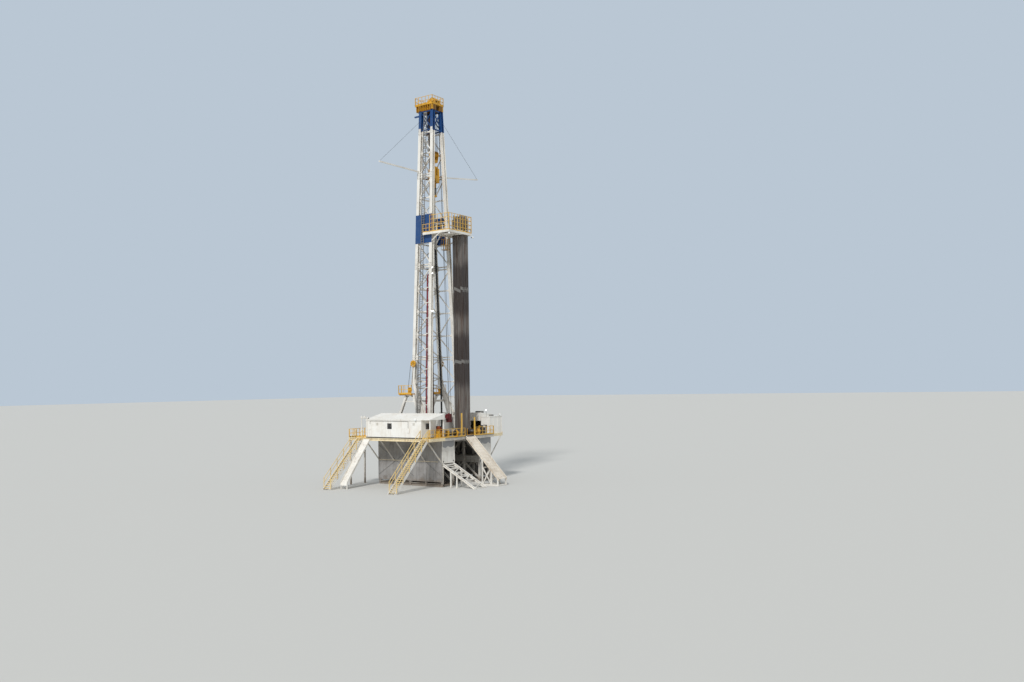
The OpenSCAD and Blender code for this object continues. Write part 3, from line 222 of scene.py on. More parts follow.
def makeFloor():
    half, z = studio["floorSize"] / 2, -studio["floorDrop"]
    mesh = bpy.data.meshes.new("floor")
    mesh.from_pydata([(-half, -half, z), (half, -half, z), (half, half, z), (-half, half, z)], [], [(0, 1, 2, 3)])
    floor = bpy.data.objects.new("floor", mesh)
    bpy.context.scene.collection.objects.link(floor)
    paint = bpy.data.materials.new("floorPaint")
    paint.use_nodes = True
    surface = paint.node_tree.nodes["Principled BSDF"]
    surface.inputs["Base Color"].default_value = studio["floorColour"]
    surface.inputs["Roughness"].default_value = studio["floorRoughness"]
    mesh.materials.append(paint)


makeWorld()
makeSun()
makeFloor()
bpy.context.scene.view_settings.view_transform = "Standard"
print("camera, light and floor made")


# Shader node groups for the effects that the finishes share
def newShaderGroup(name, inputs, outputs):
    tree = bpy.data.node_groups.new(name, "ShaderNodeTree")
    tree.interface.new_socket("Vector", in_out="INPUT", socket_type="NodeSocketVector")
    for label, value in inputs.items():
        tree.interface.new_socket(label, in_out="INPUT", socket_type="NodeSocketFloat").default_value = value
    for label in outputs:
        tree.interface.new_socket(label, in_out="OUTPUT", socket_type="NodeSocketFloat")
    given = tree.nodes.new("NodeGroupInput").outputs
    result = tree.nodes.new("NodeGroupOutput").inputs
    return tree, given, result


def makePaintWear():
    tree, given, result = newShaderGroup("paintWear", {"Grain": 9.0, "Chips": 0.3, "Streaks": 0.4, "Grime": 0.5},
                                         ("Chip Mask", "Streak Mask", "Grime Mask", "Shade", "Height"))
    vector, grain = given["Vector"], given["Grain"]
    chipNoise = noise(tree, vector, times(tree, grain, 1.4), 6.0, 0.7)
    chipPatch = noise(tree, vector, times(tree, grain, 0.16), 2.0)
    chips = step(tree, plus(tree, chipNoise, times(tree, chipPatch, 0.5)), 0.90, 0.96)
    runs = noise(tree, vector, 1.0, 4.0, 0.6, (7.0, 7.0, 0.45))
    reach = noise(tree, vector, 0.5, 2.0)
    streaks = times(tree, step(tree, runs, 0.50, 0.74), step(tree, reach, 0.30, 0.70))
    blots = noise(tree, vector, 0.8, 6.0, 0.62)
    spots = noise(tree, vector, times(tree, grain, 0.5), 4.0)
    grime = step(tree, plus(tree, blots, times(tree, spots, 0.35)), 0.58, 0.86)
    for mask, amount, label in ((chips, "Chips", "Chip Mask"), (streaks, "Streaks", "Streak Mask"),
                                (grime, "Grime", "Grime Mask")):
        tree.links.new(times(tree, mask, given[amount], True), result[label])
    tree.links.new(noise(tree, vector, 1.7, 5.0), result["Shade"])
    fine = noise(tree, vector, times(tree, grain, 6.0), 3.0)
    tree.links.new(minus(tree, fine, times(tree, chips, 1.5)), result["Height"])
    return tree


def makeGroundMud():  # mud thrown up from the ground, ragged at its top
    tree, given, result = newShaderGroup("groundMud", {"Reach": 0.6}, ["Mud Mask"])
    ragged = times(tree, noise(tree, given["Vector"], 2.2, 5.0), given["Reach"])
    clean = step(tree, splitAxes(tree, given["Vector"])["Z"], times(tree, ragged, 0.5), times(tree, ragged, 2.2))
    tree.links.new(minus(tree, 1.0, clean), result["Mud Mask"])
    return tree


def makeTreadPattern():  # raised lozenges of chequer plate
    tree, given, result = newShaderGroup("treadPattern", {"Pitch": 22.0}, ["Height"])
    parts = splitAxes(tree, vectorCalc(tree, "SCALE", given["Vector"], given["Pitch"]))
    waveA = calc(tree, "SINE", times(tree, plus(tree, parts["X"], parts["Y"]), 3.1416))
    waveB = calc(tree, "SINE", times(tree, minus(tree, parts["X"], parts["Y"]), 9.4))
    tree.links.new(step(tree, times(tree, waveA, waveB), 0.35, 0.7), result["Height"])
    return tree


pipeLooks = {"bandHeights": (12.55, 7.93), "bandReach": 2.15, "bandEdge": 0.8, "bandRagged": 1.6,
             "dull": srgb(104, 97, 92), "bright": srgb(148, 141, 134), "rust": srgb(96, 74, 60),
             "scrape": srgb(186, 180, 172), "band": srgb(56, 47, 45), "metal": 0.45}


def makePipeTones():  # each pipe has its own tone, with rusty, scraped and greasy lengths
    tree, given, result = newShaderGroup("pipeTones", {"Pitch": 0.09},
                                         ("Tone", "Rust Mask", "Scrape Mask", "Band Mask"))
    vector = given["Vector"]
    pitch = tree.nodes.new("ShaderNodeCombineXYZ")
    for axis, value in enumerate((given["Pitch"], given["Pitch"], 1000.0)):
        feed(tree, pitch.inputs[axis], value)
    toss = tree.nodes.new("ShaderNodeTexWhiteNoise")
    toss.noise_dimensions = "3D"
    cell = vectorCalc(tree, "FLOOR", vectorCalc(tree, "DIVIDE", vector, pitch.outputs[0]))
    tree.links.new(cell, toss.inputs["Vector"])
    tree.links.new(toss.outputs["Value"], result["Tone"])
    drips = noise(tree, vector, 1.0, 5.0, 0.65, (14.0, 14.0, 0.5))
    tree.links.new(step(tree, drips, 0.45, 0.65), result["Rust Mask"])
    rubs = noise(tree, vector, 1.0, 3.0, stretch=(30.0, 30.0, 1.3))
    tree.links.new(step(tree, rubs, 0.60, 0.75), result["Scrape Mask"])
    ragged = times(tree, noise(tree, vector, 1.0, 4.0, stretch=(22.0, 22.0, 0.4)), pipeLooks["bandRagged"])
    reach, height, darks = pipeLooks["bandReach"], splitAxes(tree, vector)["Z"], []
    for level in pipeLooks["bandHeights"]:  # grease and mud lie thick on either side of the joints
        away = calc(tree, "ABSOLUTE", minus(tree, height, level))
        darks.append(step(tree, plus(tree, away, ragged), reach + pipeLooks["bandEdge"], reach))
    tree.links.new(calc(tree, "MAXIMUM", *darks), result["Band Mask"])
    return tree


def makeScallopShadow():  # painted shadow: grey over a wall's upper part, its lower edge in hanging arcs
    tree, given, result = newShaderGroup("scallopShadow", {"Level": 2.42, "Pitch": 5.2, "Depth": 0.1}, ["Dust Mask"])
    parts = splitAxes(tree, given["Vector"])
    arc = calc(tree, "ABSOLUTE", calc(tree, "SINE", times(tree, parts["Y"], given["Pitch"])))
    ragged = times(tree, noise(tree, given["Vector"], 6.0, 4.0), 0.14)
    edge = minus(tree, plus(tree, given["Level"], ragged), times(tree, arc, given["Depth"]))
    tree.links.new(step(tree, minus(tree, parts["Z"], edge), 0.0, 0.05), result["Dust Mask"])
    return tree


groups = {"wear": makePaintWear(), "mud": makeGroundMud(), "tread": makeTreadPattern(),
          "pipe": makePipeTones(), "scallopShadow": makeScallopShadow()}


def useGroup(tree, name, vector, **values):
    node = tree.nodes.new("ShaderNodeGroup")
    node.node_tree = groups[name]
    tree.links.new(vector, node.inputs["Vector"])
    for label, value in values.items():
        node.inputs[label].default_value = value
    return node.outputs


def startMaterial(name):
    material = bpy.data.materials.new(name)
    material.use_nodes = True
    tree = material.node_tree
    place = tree.nodes.new("ShaderNodeTexCoord").outputs["Object"]
    return material, tree, tree.nodes["Principled BSDF"], place


def coat(tree, surface, colour, roughness, metal=0.0):
    tree.links.new(colour, surface.inputs["Base Color"])
    feed(tree, surface.inputs["Roughness"], roughness)
    surface.inputs["Metallic"].default_value = metal


def bumpFrom(tree, surface, height, strength, distance):
    bump = tree.nodes.new("ShaderNodeBump")
    bump.inputs["Strength"].default_value = strength
    bump.inputs["Distance"].default_value = distance
    tree.links.new(height, bump.inputs["Height"])
    tree.links.new(bump.outputs["Normal"], surface.inputs["Normal"])


# Painted steel: the paint, its shade, what has run and what has settled on it, and how much of
# chips, streaks, grime and, where it stands near the ground, mud
finishes = {
    "whitePaint": ((236, 233, 226), (220, 215, 205), (140, 112, 88), (172, 162, 148), 0.6, 0.4, 0.35),
    "housePaint": ((240, 238, 232), (229, 225, 216), (170, 136, 104), (200, 188, 170), 0.3, 0.35, 0.3),
    "boxPaint": ((222, 218, 210), (200, 194, 184), (124, 100, 80), (146, 134, 120), 0.6, 0.5, 0.5, 0.45),
    "rampPaint": ((232, 224, 210), (214, 202, 184), (140, 112, 86), (168, 150, 128), 0.6, 0.45, 0.5, 0.35),
    "wallPaint": ((160, 157, 154), (136, 133, 130), (84, 78, 72), (110, 106, 102), 0.3, 0.6, 0.55, 0.6),
    "bluePaint": ((12, 68, 126), (10, 54, 104), (36, 46, 66), (86, 104, 128), 0.4, 0.25, 0.25),
    "yellowPaint": ((230, 172, 34), (204, 146, 28), (100, 68, 36), (128, 98, 56), 0.6, 0.4, 0.4),
    "railPaint": ((228, 184, 82), (212, 166, 70), (126, 90, 54), (158, 130, 84), 0.5, 0.35, 0.35),
    "stairPaint": ((236, 208, 140), (222, 190, 118), (140, 108, 72), (172, 148, 108), 0.5, 0.35, 0.35),
    "creamPaint": ((236, 222, 188), (222, 204, 164), (140, 104, 70), (166, 144, 112), 0.5, 0.6, 0.4),
    "redPaint": ((126, 24, 36), (96, 20, 30), (64, 22, 22), (96, 62, 54), 0.5, 0.4, 0.4),
    "brownPaint": ((74, 52, 40), (52, 38, 30), (38, 28, 24), (98, 82, 68), 0.6, 0.5, 0.5),
    "orangePaint": ((200, 100, 44), (166, 80, 36), (80, 46, 28), (112, 84, 64), 0.8, 0.5, 0.5),
    "greySteel": ((134, 132, 128), (106, 104, 100), (92, 70, 54), (84, 76, 68), 0.5, 0.4, 0.5),
    "darkSteel": ((58, 57, 56), (44, 43, 42), (66, 50, 40), (84, 76, 68), 0.4, 0.4, 0.5),
}
# the end panels' white, with a painted shadow over their upper part
finishes["shadowedPanelPaint"] = finishes["whitePaint"]
# the crown platform's yellow, with painted shade on the beams below its deck
finishes["shadedCrownPaint"] = finishes["yellowPaint"]
paintLooks = {"grain": 9.0, "gloss": 0.42, "dirtRoughness": 0.85, "bump": 0.25, "bumpDepth": 0.004,
              # the dust colour is the grey of the painted shadow over the end panels' upper part
              "rust": srgb(98, 58, 38), "dustAndShade": srgb(150, 150, 150), "mud": srgb(112, 98, 84), "mudCover": 0.8,
              # crownShade is painted shade for the crown's beams below its deck, up to the edge heights and by its
              # share
              "crownShade": srgb(96, 62, 22), "crownShadeEdge": (24.962, 24.95), "crownShadeCover": 0.8}


def makePaint(name, look):
    material, tree, surface, place = startMaterial(name)
    paint, shade, run, dirt = (srgb(*colour) for colour in look[:4])
    chips, streaks, grime, *mudReach = look[4:]
    wear = useGroup(tree, "wear", place, Grain=paintLooks["grain"], Chips=chips, Streaks=streaks, Grime=grime)
    colour = mixColour(tree, wear["Shade"], paint, shade)
    colour = mixColour(tree, wear["Grime Mask"], colour, dirt)
    colour = mixColour(tree, wear["Streak Mask"], colour, run)
    colour = mixColour(tree, wear["Chip Mask"], colour, paintLooks["rust"])
    dull = calc(tree, "MAXIMUM", wear["Grime Mask"], wear["Chip Mask"])
    # painted shadow: the end panels' upper part, under the floor's edge, is turned grey
    if name == "shadowedPanelPaint":
        colour = mixColour(tree, useGroup(tree, "scallopShadow", place)[0], colour, paintLooks["dustAndShade"])
    if name == "shadedCrownPaint":  # painted shade: the beams below the deck are coloured darker and browner, as they look in its shadow
        beamShade = step(tree, splitAxes(tree, place)["Z"], *paintLooks["crownShadeEdge"])
        colour = mixColour(tree, times(tree, beamShade, paintLooks["crownShadeCover"]), colour, paintLooks["crownShade"])
    for reach in mudReach:
        mud = useGroup(tree, "mud", place, Reach=reach)[0]
        colour = mixColour(tree, times(tree, mud, paintLooks["mudCover"]), colour, paintLooks["mud"])
        dull = calc(tree, "MAXIMUM", dull, mud)
    spread = paintLooks["dirtRoughness"] - paintLooks["gloss"]
    coat(tree, surface, colour, plus(tree, times(tree, dull, spread), paintLooks["gloss"]))
    bumpFrom(tree, surface, wear["Height"], paintLooks["bump"], paintLooks["bumpDepth"])
    return material


deckLooks = {"plate": srgb(112, 104, 94), "shade": srgb(82, 74, 66), "mud": srgb(70, 56, 44),
             "worn": srgb(156, 148, 136), "wornShare": 0.35, "pitch": 20.0}


def makeDeckPlate():
    material, tree, surface, place = startMaterial("deckPlate")
    wear = useGroup(tree, "wear", place, Grain=7.0, Chips=0.9, Streaks=0.0, Grime=0.9)
    tread = useGroup(tree, "tread", place, Pitch=deckLooks["pitch"])["Height"]
    colour = mixColour(tree, wear["Shade"], deckLooks["plate"], deckLooks["shade"])
    colour = mixColour(tree, wear["Grime Mask"], colour, deckLooks["mud"])
    colour = mixColour(tree, times(tree, tread, deckLooks["wornShare"]), colour, deckLooks["worn"])
    coat(tree, surface, colour, step(tree, wear["Shade"], 0.2, 0.9))
    bumpFrom(tree, surface, tread, 0.5, 0.006)
    return material


def makePipeSteel():
    material, tree, surface, place = startMaterial("pipeSteel")
    tones = useGroup(tree, "pipe", place)
    colour = mixColour(tree, tones["Tone"], pipeLooks["dull"], pipeLooks["bright"])
    for mask, share, over in (("Rust Mask", 0.7, "rust"), ("Scrape Mask", 0.6, "scrape"), ("Band Mask", 0.75, "band")):
        colour = mixColour(tree, times(tree, tones[mask], share), colour, pipeLooks[over])
    coat(tree, surface, colour, step(tree, tones["Rust Mask"], -0.9, 1.4), pipeLooks["metal"])
    bumpFrom(tree, surface, noise(tree, place, 30.0, 4.0), 0.2, 0.002)
    return material


def makeLineSteel():
    material, tree, surface, place = startMaterial("lineSteel")
    strands = calc(tree, "SINE", times(tree, noise(tree, place, 1.0, stretch=(90, 90, 30)), 20.0))
    coat(tree, surface, mixColour(tree, noise(tree, place, 3.0), srgb(52, 48, 44), srgb(86, 80, 72)), 0.5, 0.6)
    bumpFrom(tree, surface, strands, 0.3, 0.002)
    return material


def makeGlass():
    material, tree, surface, place = startMaterial("windowGlass")
    # the lighter patches are real dust on the glass
    dustAndShade = noise(tree, place, 6.0, 5.0)
    colour = mixColour(tree, step(tree, dustAndShade, 0.4, 0.9), srgb(26, 32, 36), srgb(96, 92, 84))
    coat(tree, surface, colour, step(tree, dustAndShade, 0.35, 1.6))
    surface.inputs["Coat Weight"].default_value = 0.6
    return material


def makePlain(name, scale, detail, dark, light, roughness):
    material, tree, surface, place = startMaterial(name)
    coat(tree, surface, mixColour(tree, noise(tree, place, scale, detail), dark, light), roughness)
    return material


materials = {name: makePaint(name, look) for name, look in finishes.items()}
materials["deckPlate"] = makeDeckPlate()
materials["pipeSteel"] = makePipeSteel()
materials["lineSteel"] = makeLineSteel()
materials["windowGlass"] = makeGlass()
materials["blackHose"] = makePlain("blackHose", 5.0, 3.0, srgb(24, 24, 25), srgb(52, 50, 47), 0.6)
materials["lampLens"] = makePlain("lampLens", 60.0, 1.0, srgb(236, 238, 236), srgb(190, 196, 198), 0.15)
print("materials made:", len(materials))

# What each carried-over node is painted with
nodeFinish = {
    "boxPaint": ["base_box_near", "base_box_far", "upper_box_near", "upper_box_far", "spreader_beams",
                 "platform_braces", "floor_beams"],
    "shadowedPanelPaint": ["box_end_panels"],
    "whitePaint": ["mast_near_lower", "mast_near_middle", "mast_near_upper", "mast_far_lower", "mast_far_middle",
                   "mast_far_upper", "mast_back_lower", "mast_back_upper", "booms", "raising_frame_near",
                   "raising_frame_far", "raising_tie", "stair_stringers", "racking_board", "side_ramp_frame",
                   "ramp_support", "escape_slide"],
    "housePaint": ["doghouse_walls", "doghouse_roof", "doghouse_door", "canopy", "far_house_walls", "far_house_roof"],
    "creamPaint": ["near_platform", "far_platform"],
    "rampPaint": ["vdoor_ramp"],
    "wallPaint": ["wind_walls"],
    "bluePaint": ["crown_section", "mast_side_panels"],
    "shadedCrownPaint": ["crown_platform"],
    "yellowPaint": ["crown_block", "sheave_platforms", "leg_sheaves", "travelling_block", "top_drive"],
    "railPaint": ["floor_rails", "upper_rails", "vdoor_posts"],
    "stairPaint": ["stair_rails", "front_stair_treads", "rear_stair_treads"],
    "redPaint": ["standpipe"],
    "brownPaint": ["guide_rail"],
    "orangePaint": ["floor_wrench"],
    "greySteel": ["mast_ladder", "racking_fingers", "rotary_table"],
    "deckPlate": ["drill_floor"],
    "pipeSteel": ["pipe_stands"],
    "lineSteel": ["drilling_lines", "boom_stays"],
    "windowGlass": ["doghouse_glass"],
}
for finish, names in nodeFinish.items():
    for name in names:
        nodes[name].data.materials.clear()
        nodes[name].data.materials.append(materials[finish])
print("nodes painted:", sum(len(names) for names in nodeFinish.values()), "of", len(nodes))


# Solids of the added pieces
def along(p, q, up):
    axis = (q - p).normalized()
    across = Vector(up).cross(axis).normalized()
    turned = Matrix((across, axis.cross(across), axis)).transposed().to_4x4()
    return Matrix.Translation((p + q) / 2) @ turned


def addBox(shape, low, high):
    size = Matrix.Diagonal((*(high - low), 1.0))
    bmesh.ops.create_cube(shape, size=1.0, matrix=Matrix.Translation((low + high) / 2) @ size)


def addBar(shape, p, q, width, depth, up=axisZ):
    size = Matrix.Diagonal((width, depth, (q - p).length, 1.0))
    bmesh.ops.create_cube(shape, size=1.0, matrix=along(p, q, up) @ size)


def addRod(shape, p, q, radius, sides=16, end=None):
    up = axisZ if abs((q - p).normalized().z) < 0.9 else axisX
    made = bmesh.ops.create_cone(shape, cap_ends=True, segments=sides, radius1=radius,
                                 radius2=radius if end is None else end, depth=(q - p).length,
                                 matrix=along(p, q, up))
    for face in {f for v in made["verts"] for f in v.link_faces}:
        face.smooth = len(face.verts) == 4


def addGusset(shape, corner, legA, legB, depth):
    outline = [corner, corner + legA, corner + legB]
    low = [shape.verts.new(p) for p in outline]
    high = [shape.verts.new(p + depth) for p in outline]
    shape.faces.new(low)
    shape.faces.new(high[::-1])
    for i in range(3):
        j = (i + 1) % 3
        shape.faces.new((low[i], low[j], high[j], high[i]))


def place(name, mesh, finish, body):
    piece = bpy.data.objects.new(name, mesh)
    bpy.context.scene.collection.objects.link(piece)
    if body:  # a piece with no body is left unattached
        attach(piece, body)
    return piece


def makePiece(name, shape, finish, body="rig", soften=0.0):
    if soften:
        sharp = [e for e in shape.edges if not any(f.smooth for f in e.link_faces)]
        bmesh.ops.bevel(shape, geom=sharp, offset=soften, segments=2, affect="EDGES", clamp_overlap=True)
    bmesh.ops.recalc_face_normals(shape, faces=shape.faces)
    mesh = bpy.data.meshes.new(name)
    shape.to_mesh(mesh)
    shape.free()
    mesh.materials.append(materials[finish])
    return place(name, mesh, finish, body)


# A piece of plain solids: boxes by two corners, bars and rods by two ends and their sizes
def makeSolids(name, finish, boxes=(), bars=(), rods=(), at=above, body="rig", soften=0.0):
    shape = bmesh.new()
    for low, high in boxes:
        addBox(shape, at(*low), at(*high))
    for p, q, *size in bars:
        addBar(shape, at(*p), at(*q), *size)
    for p, q, *size in rods:
        addRod(shape, at(*p), at(*q), *size)
    return makePiece(name, shape, finish, body, soften)


# Node trees for what repeats and what follows a path
def newGeometryGroup(name, inputs):
    tree = bpy.data.node_groups.new(name, "GeometryNodeTree")
    tree.interface.new_socket("Geometry", in_out="INPUT", socket_type="NodeSocketGeometry")
    for label, value in inputs.items():
        kind = "NodeSocketInt" if isinstance(value, int) else "NodeSocketFloat"
        tree.interface.new_socket(label, in_out="INPUT", socket_type=kind).default_value = value
    tree.interface.new_socket("Material", in_out="INPUT", socket_type="NodeSocketMaterial")
    tree.interface.new_socket("Geometry", in_out="OUTPUT", socket_type="NodeSocketGeometry")
    return tree, tree.nodes.new("NodeGroupInput").outputs


def addNode(tree, kind, **values):  # each value is a number or another node's output
    node = tree.nodes.new(kind)
    for label, value in values.items():
        feed(tree, node.inputs[label.replace("_", " ")], value)
    return node


def endTree(tree, given, made):
    solid = addNode(tree, "GeometryNodeRealizeInstances", Geometry=made).outputs[0]
    painted = addNode(tree, "GeometryNodeSetMaterial", Geometry=solid, Material=given["Material"])
    tree.links.new(painted.outputs[0], tree.nodes.new("NodeGroupOutput").inputs[0])
    return tree


def makeTubeTree(name, bent):
    tree, given = newGeometryGroup(name, {"Radius": 0.02, "Sides": 8, **({"Bend": 0.1} if bent else {})})
    curve = addNode(tree, "GeometryNodeMeshToCurve", Mesh=given["Geometry"]).outputs[0]
    ring = addNode(tree, "GeometryNodeCurvePrimitiveCircle", Resolution=given["Sides"], Radius=given["Radius"])
    if bent:
        fillet = addNode(tree, "GeometryNodeFilletCurve", Curve=curve)
        fillet.mode = "POLY"
        for label, value in (("Count", 4), ("Limit Radius", True), ("Radius", given["Bend"])):
            feed(tree, fillet.inputs[label], value)
        curve = fillet.outputs[0]
    skin = addNode(tree, "GeometryNodeCurveToMesh", Curve=curve, Profile_Curve=ring.outputs[0], Fill_Caps=True)
    return endTree(tree, given, skin.outputs[0])


def makeCopyTree(name, solid):  # one solid of unit size at every spot, turned and sized by it
    tree, given = newGeometryGroup(name, {"Sides": 6, "Spin": 0.0, "Seed": 4})
    if solid == "rod":
        unit = addNode(tree, "GeometryNodeMeshCylinder", Radius=0.5, Depth=1.0, Vertices=given["Sides"])
    elif solid == "block":
        unit = addNode(tree, "GeometryNodeMeshCube")
    else:
        circle = addNode(tree, "GeometryNodeCurvePrimitiveCircle", Radius=0.5, Resolution=given["Sides"])
        wire = addNode(tree, "GeometryNodeCurvePrimitiveCircle", Radius=0.07, Resolution=6)
        unit = addNode(tree, "GeometryNodeCurveToMesh", Curve=circle.outputs[0], Profile_Curve=wire.outputs[0])
    read = {}
    for label in ("turn", "size"):
        node = addNode(tree, "GeometryNodeInputNamedAttribute", Name=label)
        node.data_type = "FLOAT_VECTOR"
        read[label] = node.outputs["Attribute"]
    chance = tree.nodes.new("FunctionNodeRandomValue")
    tree.links.new(given["Spin"], chance.inputs[3])
    tree.links.new(given["Seed"], chance.inputs["Seed"])
    spin = tree.nodes.new("FunctionNodeRotateRotation")
    spin.rotation_space = "LOCAL"
    tree.links.new(read["turn"], spin.inputs[0])
    tree.links.new(addNode(tree, "ShaderNodeCombineXYZ", Z=chance.outputs[1]).outputs[0], spin.inputs[1])
    points = addNode(tree, "GeometryNodeMeshToPoints", Mesh=given["Geometry"])
    copies = addNode(tree, "GeometryNodeInstanceOnPoints", Points=points.outputs[0], Instance=unit.outputs[0],
                     Rotation=spin.outputs[0], Scale=read["size"])
    return endTree(tree, given, copies.outputs[0])


geometry = {"straight": makeTubeTree("straightTube", False), "bent": makeTubeTree("bentTube", True),
            **{solid: makeCopyTree(solid + "Copies", solid) for solid in ("rod", "block", "ring")}}


def grow(name, seed, tree, finish, body, values):
    carrier = bpy.data.objects.new(name + "Seed", seed)
    bpy.context.scene.collection.objects.link(carrier)
    modifier = carrier.modifiers.new("grow", "NODES")
    modifier.node_group = geometry[tree]
    values = {**values, "Material": materials[finish]}
    for item in geometry[tree].interface.items_tree:
        if item.in_out == "INPUT" and item.name in values:
            modifier[item.identifier] = values[item.name]
    bpy.context.view_layer.update()
    grown = bpy.data.meshes.new_from_object(carrier.evaluated_get(bpy.context.evaluated_depsgraph_get()))
    carrier.modifiers.remove(modifier)
    bpy.data.objects.remove(carrier)
    grown.name = name
    return place(name, grown, finish, body)


def growTubes(name, paths, radius, finish, at=above, body="rig", sides=6, bend=0.0):
    points, edges = [], []
    for path in paths:
        edges += [(len(points) + i, len(points) + i + 1) for i in range(len(path) - 1)]
        points += [at(*point) for point in path]
    seed = bpy.data.meshes.new(name + "Paths")
    seed.from_pydata(points, edges, [])
    values = {"Radius": radius, "Sides": sides, **({"Bend": bend} if bend else {})}
    return grow(name, seed, "bent" if bend else "straight", finish, body, values)


# Each spot is a place, a turn and a size. Bolts get a spin, so that no two stand alike
def growCopies(name, solid, spots, finish, at=above, body="rig", sides=6, spin=0.0, seed=4):
    points = bpy.data.meshes.new(name + "Spots")
    points.from_pydata([at(*spot[0]) for spot in spots], [], [])
    for k, label in enumerate(("turn", "size")):
        field = points.attributes.new(label, "FLOAT_VECTOR", "POINT")
        for i, spot in enumerate(spots):
            field.data[i].vector = spot[k + 1]
    return grow(name, points, solid, finish, body, {"Sides": sides, "Spin": spin, "Seed": seed})


# The mast's lean, from the solids: heights count from the floor, joints are the splices between lengths
mast = {"height": 21.55, "frontFoot": 0.65, "frontTop": 0.27, "rearFoot": -0.8, "rearTop": -0.713,
        "halfFoot": 1.525, "halfTop": 0.41, "leg": 0.225, "knee": 3.5, "joints": (5.05, 11.1, 17.15, 20.15),
        "girts": (1.5, 2.5, 3.5, 4.97, 5.13, 6.5625, 8.075, 9.5875, 11.02, 11.18, 12.6125, 14.125, 15.6375,
                  17.07, 17.23, 18.65, 20.07), "kneeGirts": 4}
bothSides = (-1, 1)  # near and far


def legX(h, front):
    foot, top = ("frontFoot", "frontTop") if front else ("rearFoot", "rearTop")
    x = mast[foot] + (mast[top] - mast[foot]) * h / mast["height"]
    if not front and h < mast["knee"]:
        x = mast["frontFoot"] + (legX(mast["knee"], False) - mast["frontFoot"]) * h / mast["knee"]
    return x


def halfY(h):
    return mast["halfFoot"] + (mast["halfTop"] - mast["halfFoot"]) * h / mast["height"]


def between(x0, x1, y0, y1, h0, h1):  # a box's two corners, whichever way round the sides are given
    return (min(x0, x1), min(y0, y1), min(h0, h1)), (max(x0, x1), max(y0, y1), max(h0, h1))


# Splices between the mast's lengths: plates on the legs' outer faces, and their bolts
splices = {"width": 0.19, "length": 0.42, "thickness": 0.014, "bolt": 0.034, "boltHeight": 0.03, "rows": 4,
           "boltColumns": (-0.3, 0.3)}
boltSize = (splices["bolt"], splices["bolt"], splices["boltHeight"])
shape, spots = bmesh.new(), []
for side, h, front in [(side, h, front) for side in bothSides for h in mast["joints"] for front in (True, False)]:
    ends = []
    for level in (h - splices["length"] / 2, h + splices["length"] / 2):
        out = halfY(level) + mast["leg"] / 2 + splices["thickness"] / 2
        ends.append(Vector((legX(level, front), side * out, level)))
    addBar(shape, above(*ends[0]), above(*ends[1]), splices["width"], splices["thickness"], axisY)
    for i in range(splices["rows"]):
        middle = ends[0].lerp(ends[1], (i + 0.5) / splices["rows"]) + axisY * (side * splices["thickness"] / 2)
        spots += [(middle + axisX * (k * splices["width"]), alongY, boltSize) for k in splices["boltColumns"]]
makePiece("splicePlates", shape, "whitePaint")
growCopies("spliceBolts", "rod", spots, "darkSteel", spin=1.0, seed=11)

# Gusset plates where the girts meet the legs, on the sides and the back
gussets = {"side": 0.17, "thickness": 0.012, "halfGirt": 0.04}
shape = bmesh.new()
for side in bothSides:
    for h, front in [(h, front) for h in mast["girts"] for front in (True, False)]:
        into = -1 if front else 1
        x = legX(h, front) + into * mast["leg"] / 2
        for up in bothSides:
            corner = above(x, side * halfY(h) - gussets["thickness"] / 2, h + up * gussets["halfGirt"])
            addGusset(shape, corner, axisX * (into * gussets["side"]), axisZ * (up * gussets["side"]),
                      axisY * gussets["thickness"])
    for h in mast["girts"][mast["kneeGirts"]:]:
        for up in bothSides:
            corner = above(legX(h, False), side * (halfY(h) - mast["leg"] / 2), h + up * gussets["halfGirt"])
            addGusset(shape, corner, axisY * (-side * gussets["side"]), axisZ * (up * gussets["side"]),
                      axisX * gussets["thickness"])
makePiece("mastGussets", shape, "whitePaint")

# Clamps that hold the standpipe to the near front leg
clamps = {"levels": (0.9, 2.0, 3.1, 4.3, 5.6, 6.6, 7.6, 8.6, 9.6), "width": 0.15, "height": 0.05,
          "pipeBack": 0.16875, "pipeOut": 0.1675, "outer": 0.066, "inner": 0.054, "boltPlace": 0.064,
          "bolt": (0.022, 0.022, 0.02)}
boxes, spots = [], []
for h in clamps["levels"]:
    x, y = legX(h, True) - clamps["pipeBack"], -(halfY(h) + clamps["pipeOut"])
    boxes.append(between(x - clamps["width"] / 2, x + clamps["width"] / 2, y - clamps["outer"], y + clamps["inner"],
                         h, h + clamps["height"]))
    spots += [((x + side * clamps["boltPlace"], y - 0.068, h + clamps["height"] / 2), alongY, clamps["bolt"])
              for side in bothSides]
makeSolids("standpipeClamps", "whitePaint", boxes)
growCopies("clampBolts", "rod", spots, "darkSteel", spin=1.0, seed=3)
print("mast joints, gussets and clamps made")

# Ladder cage on the ladder's lower part: hoops, and straps that join them
cage = {"from": 1.3, "to": 4.9, "hoops": 9, "reach": 0.2, "wire": 0.009, "ladderX": -0.205, "half": 0.155,
        "off": 0.2075, "corners": 8}
hoops = []
for i in range(cage["hoops"]):
    h = cage["from"] + (cage["to"] - cage["from"]) * i / (cage["hoops"] - 1)
    turns = [math.pi * k / cage["corners"] for k in range(cage["corners"] + 1)]
    hoops.append([(cage["ladderX"] - math.cos(turn) * cage["half"],
                   -(halfY(h) + cage["off"]) - math.sin(turn) * cage["reach"], h) for turn in turns])
straps = [[hoop[k] for hoop in hoops] for k in range(0, cage["corners"] + 1, 2)]
growTubes("cageHoops", hoops + straps, cage["wire"], "greySteel")

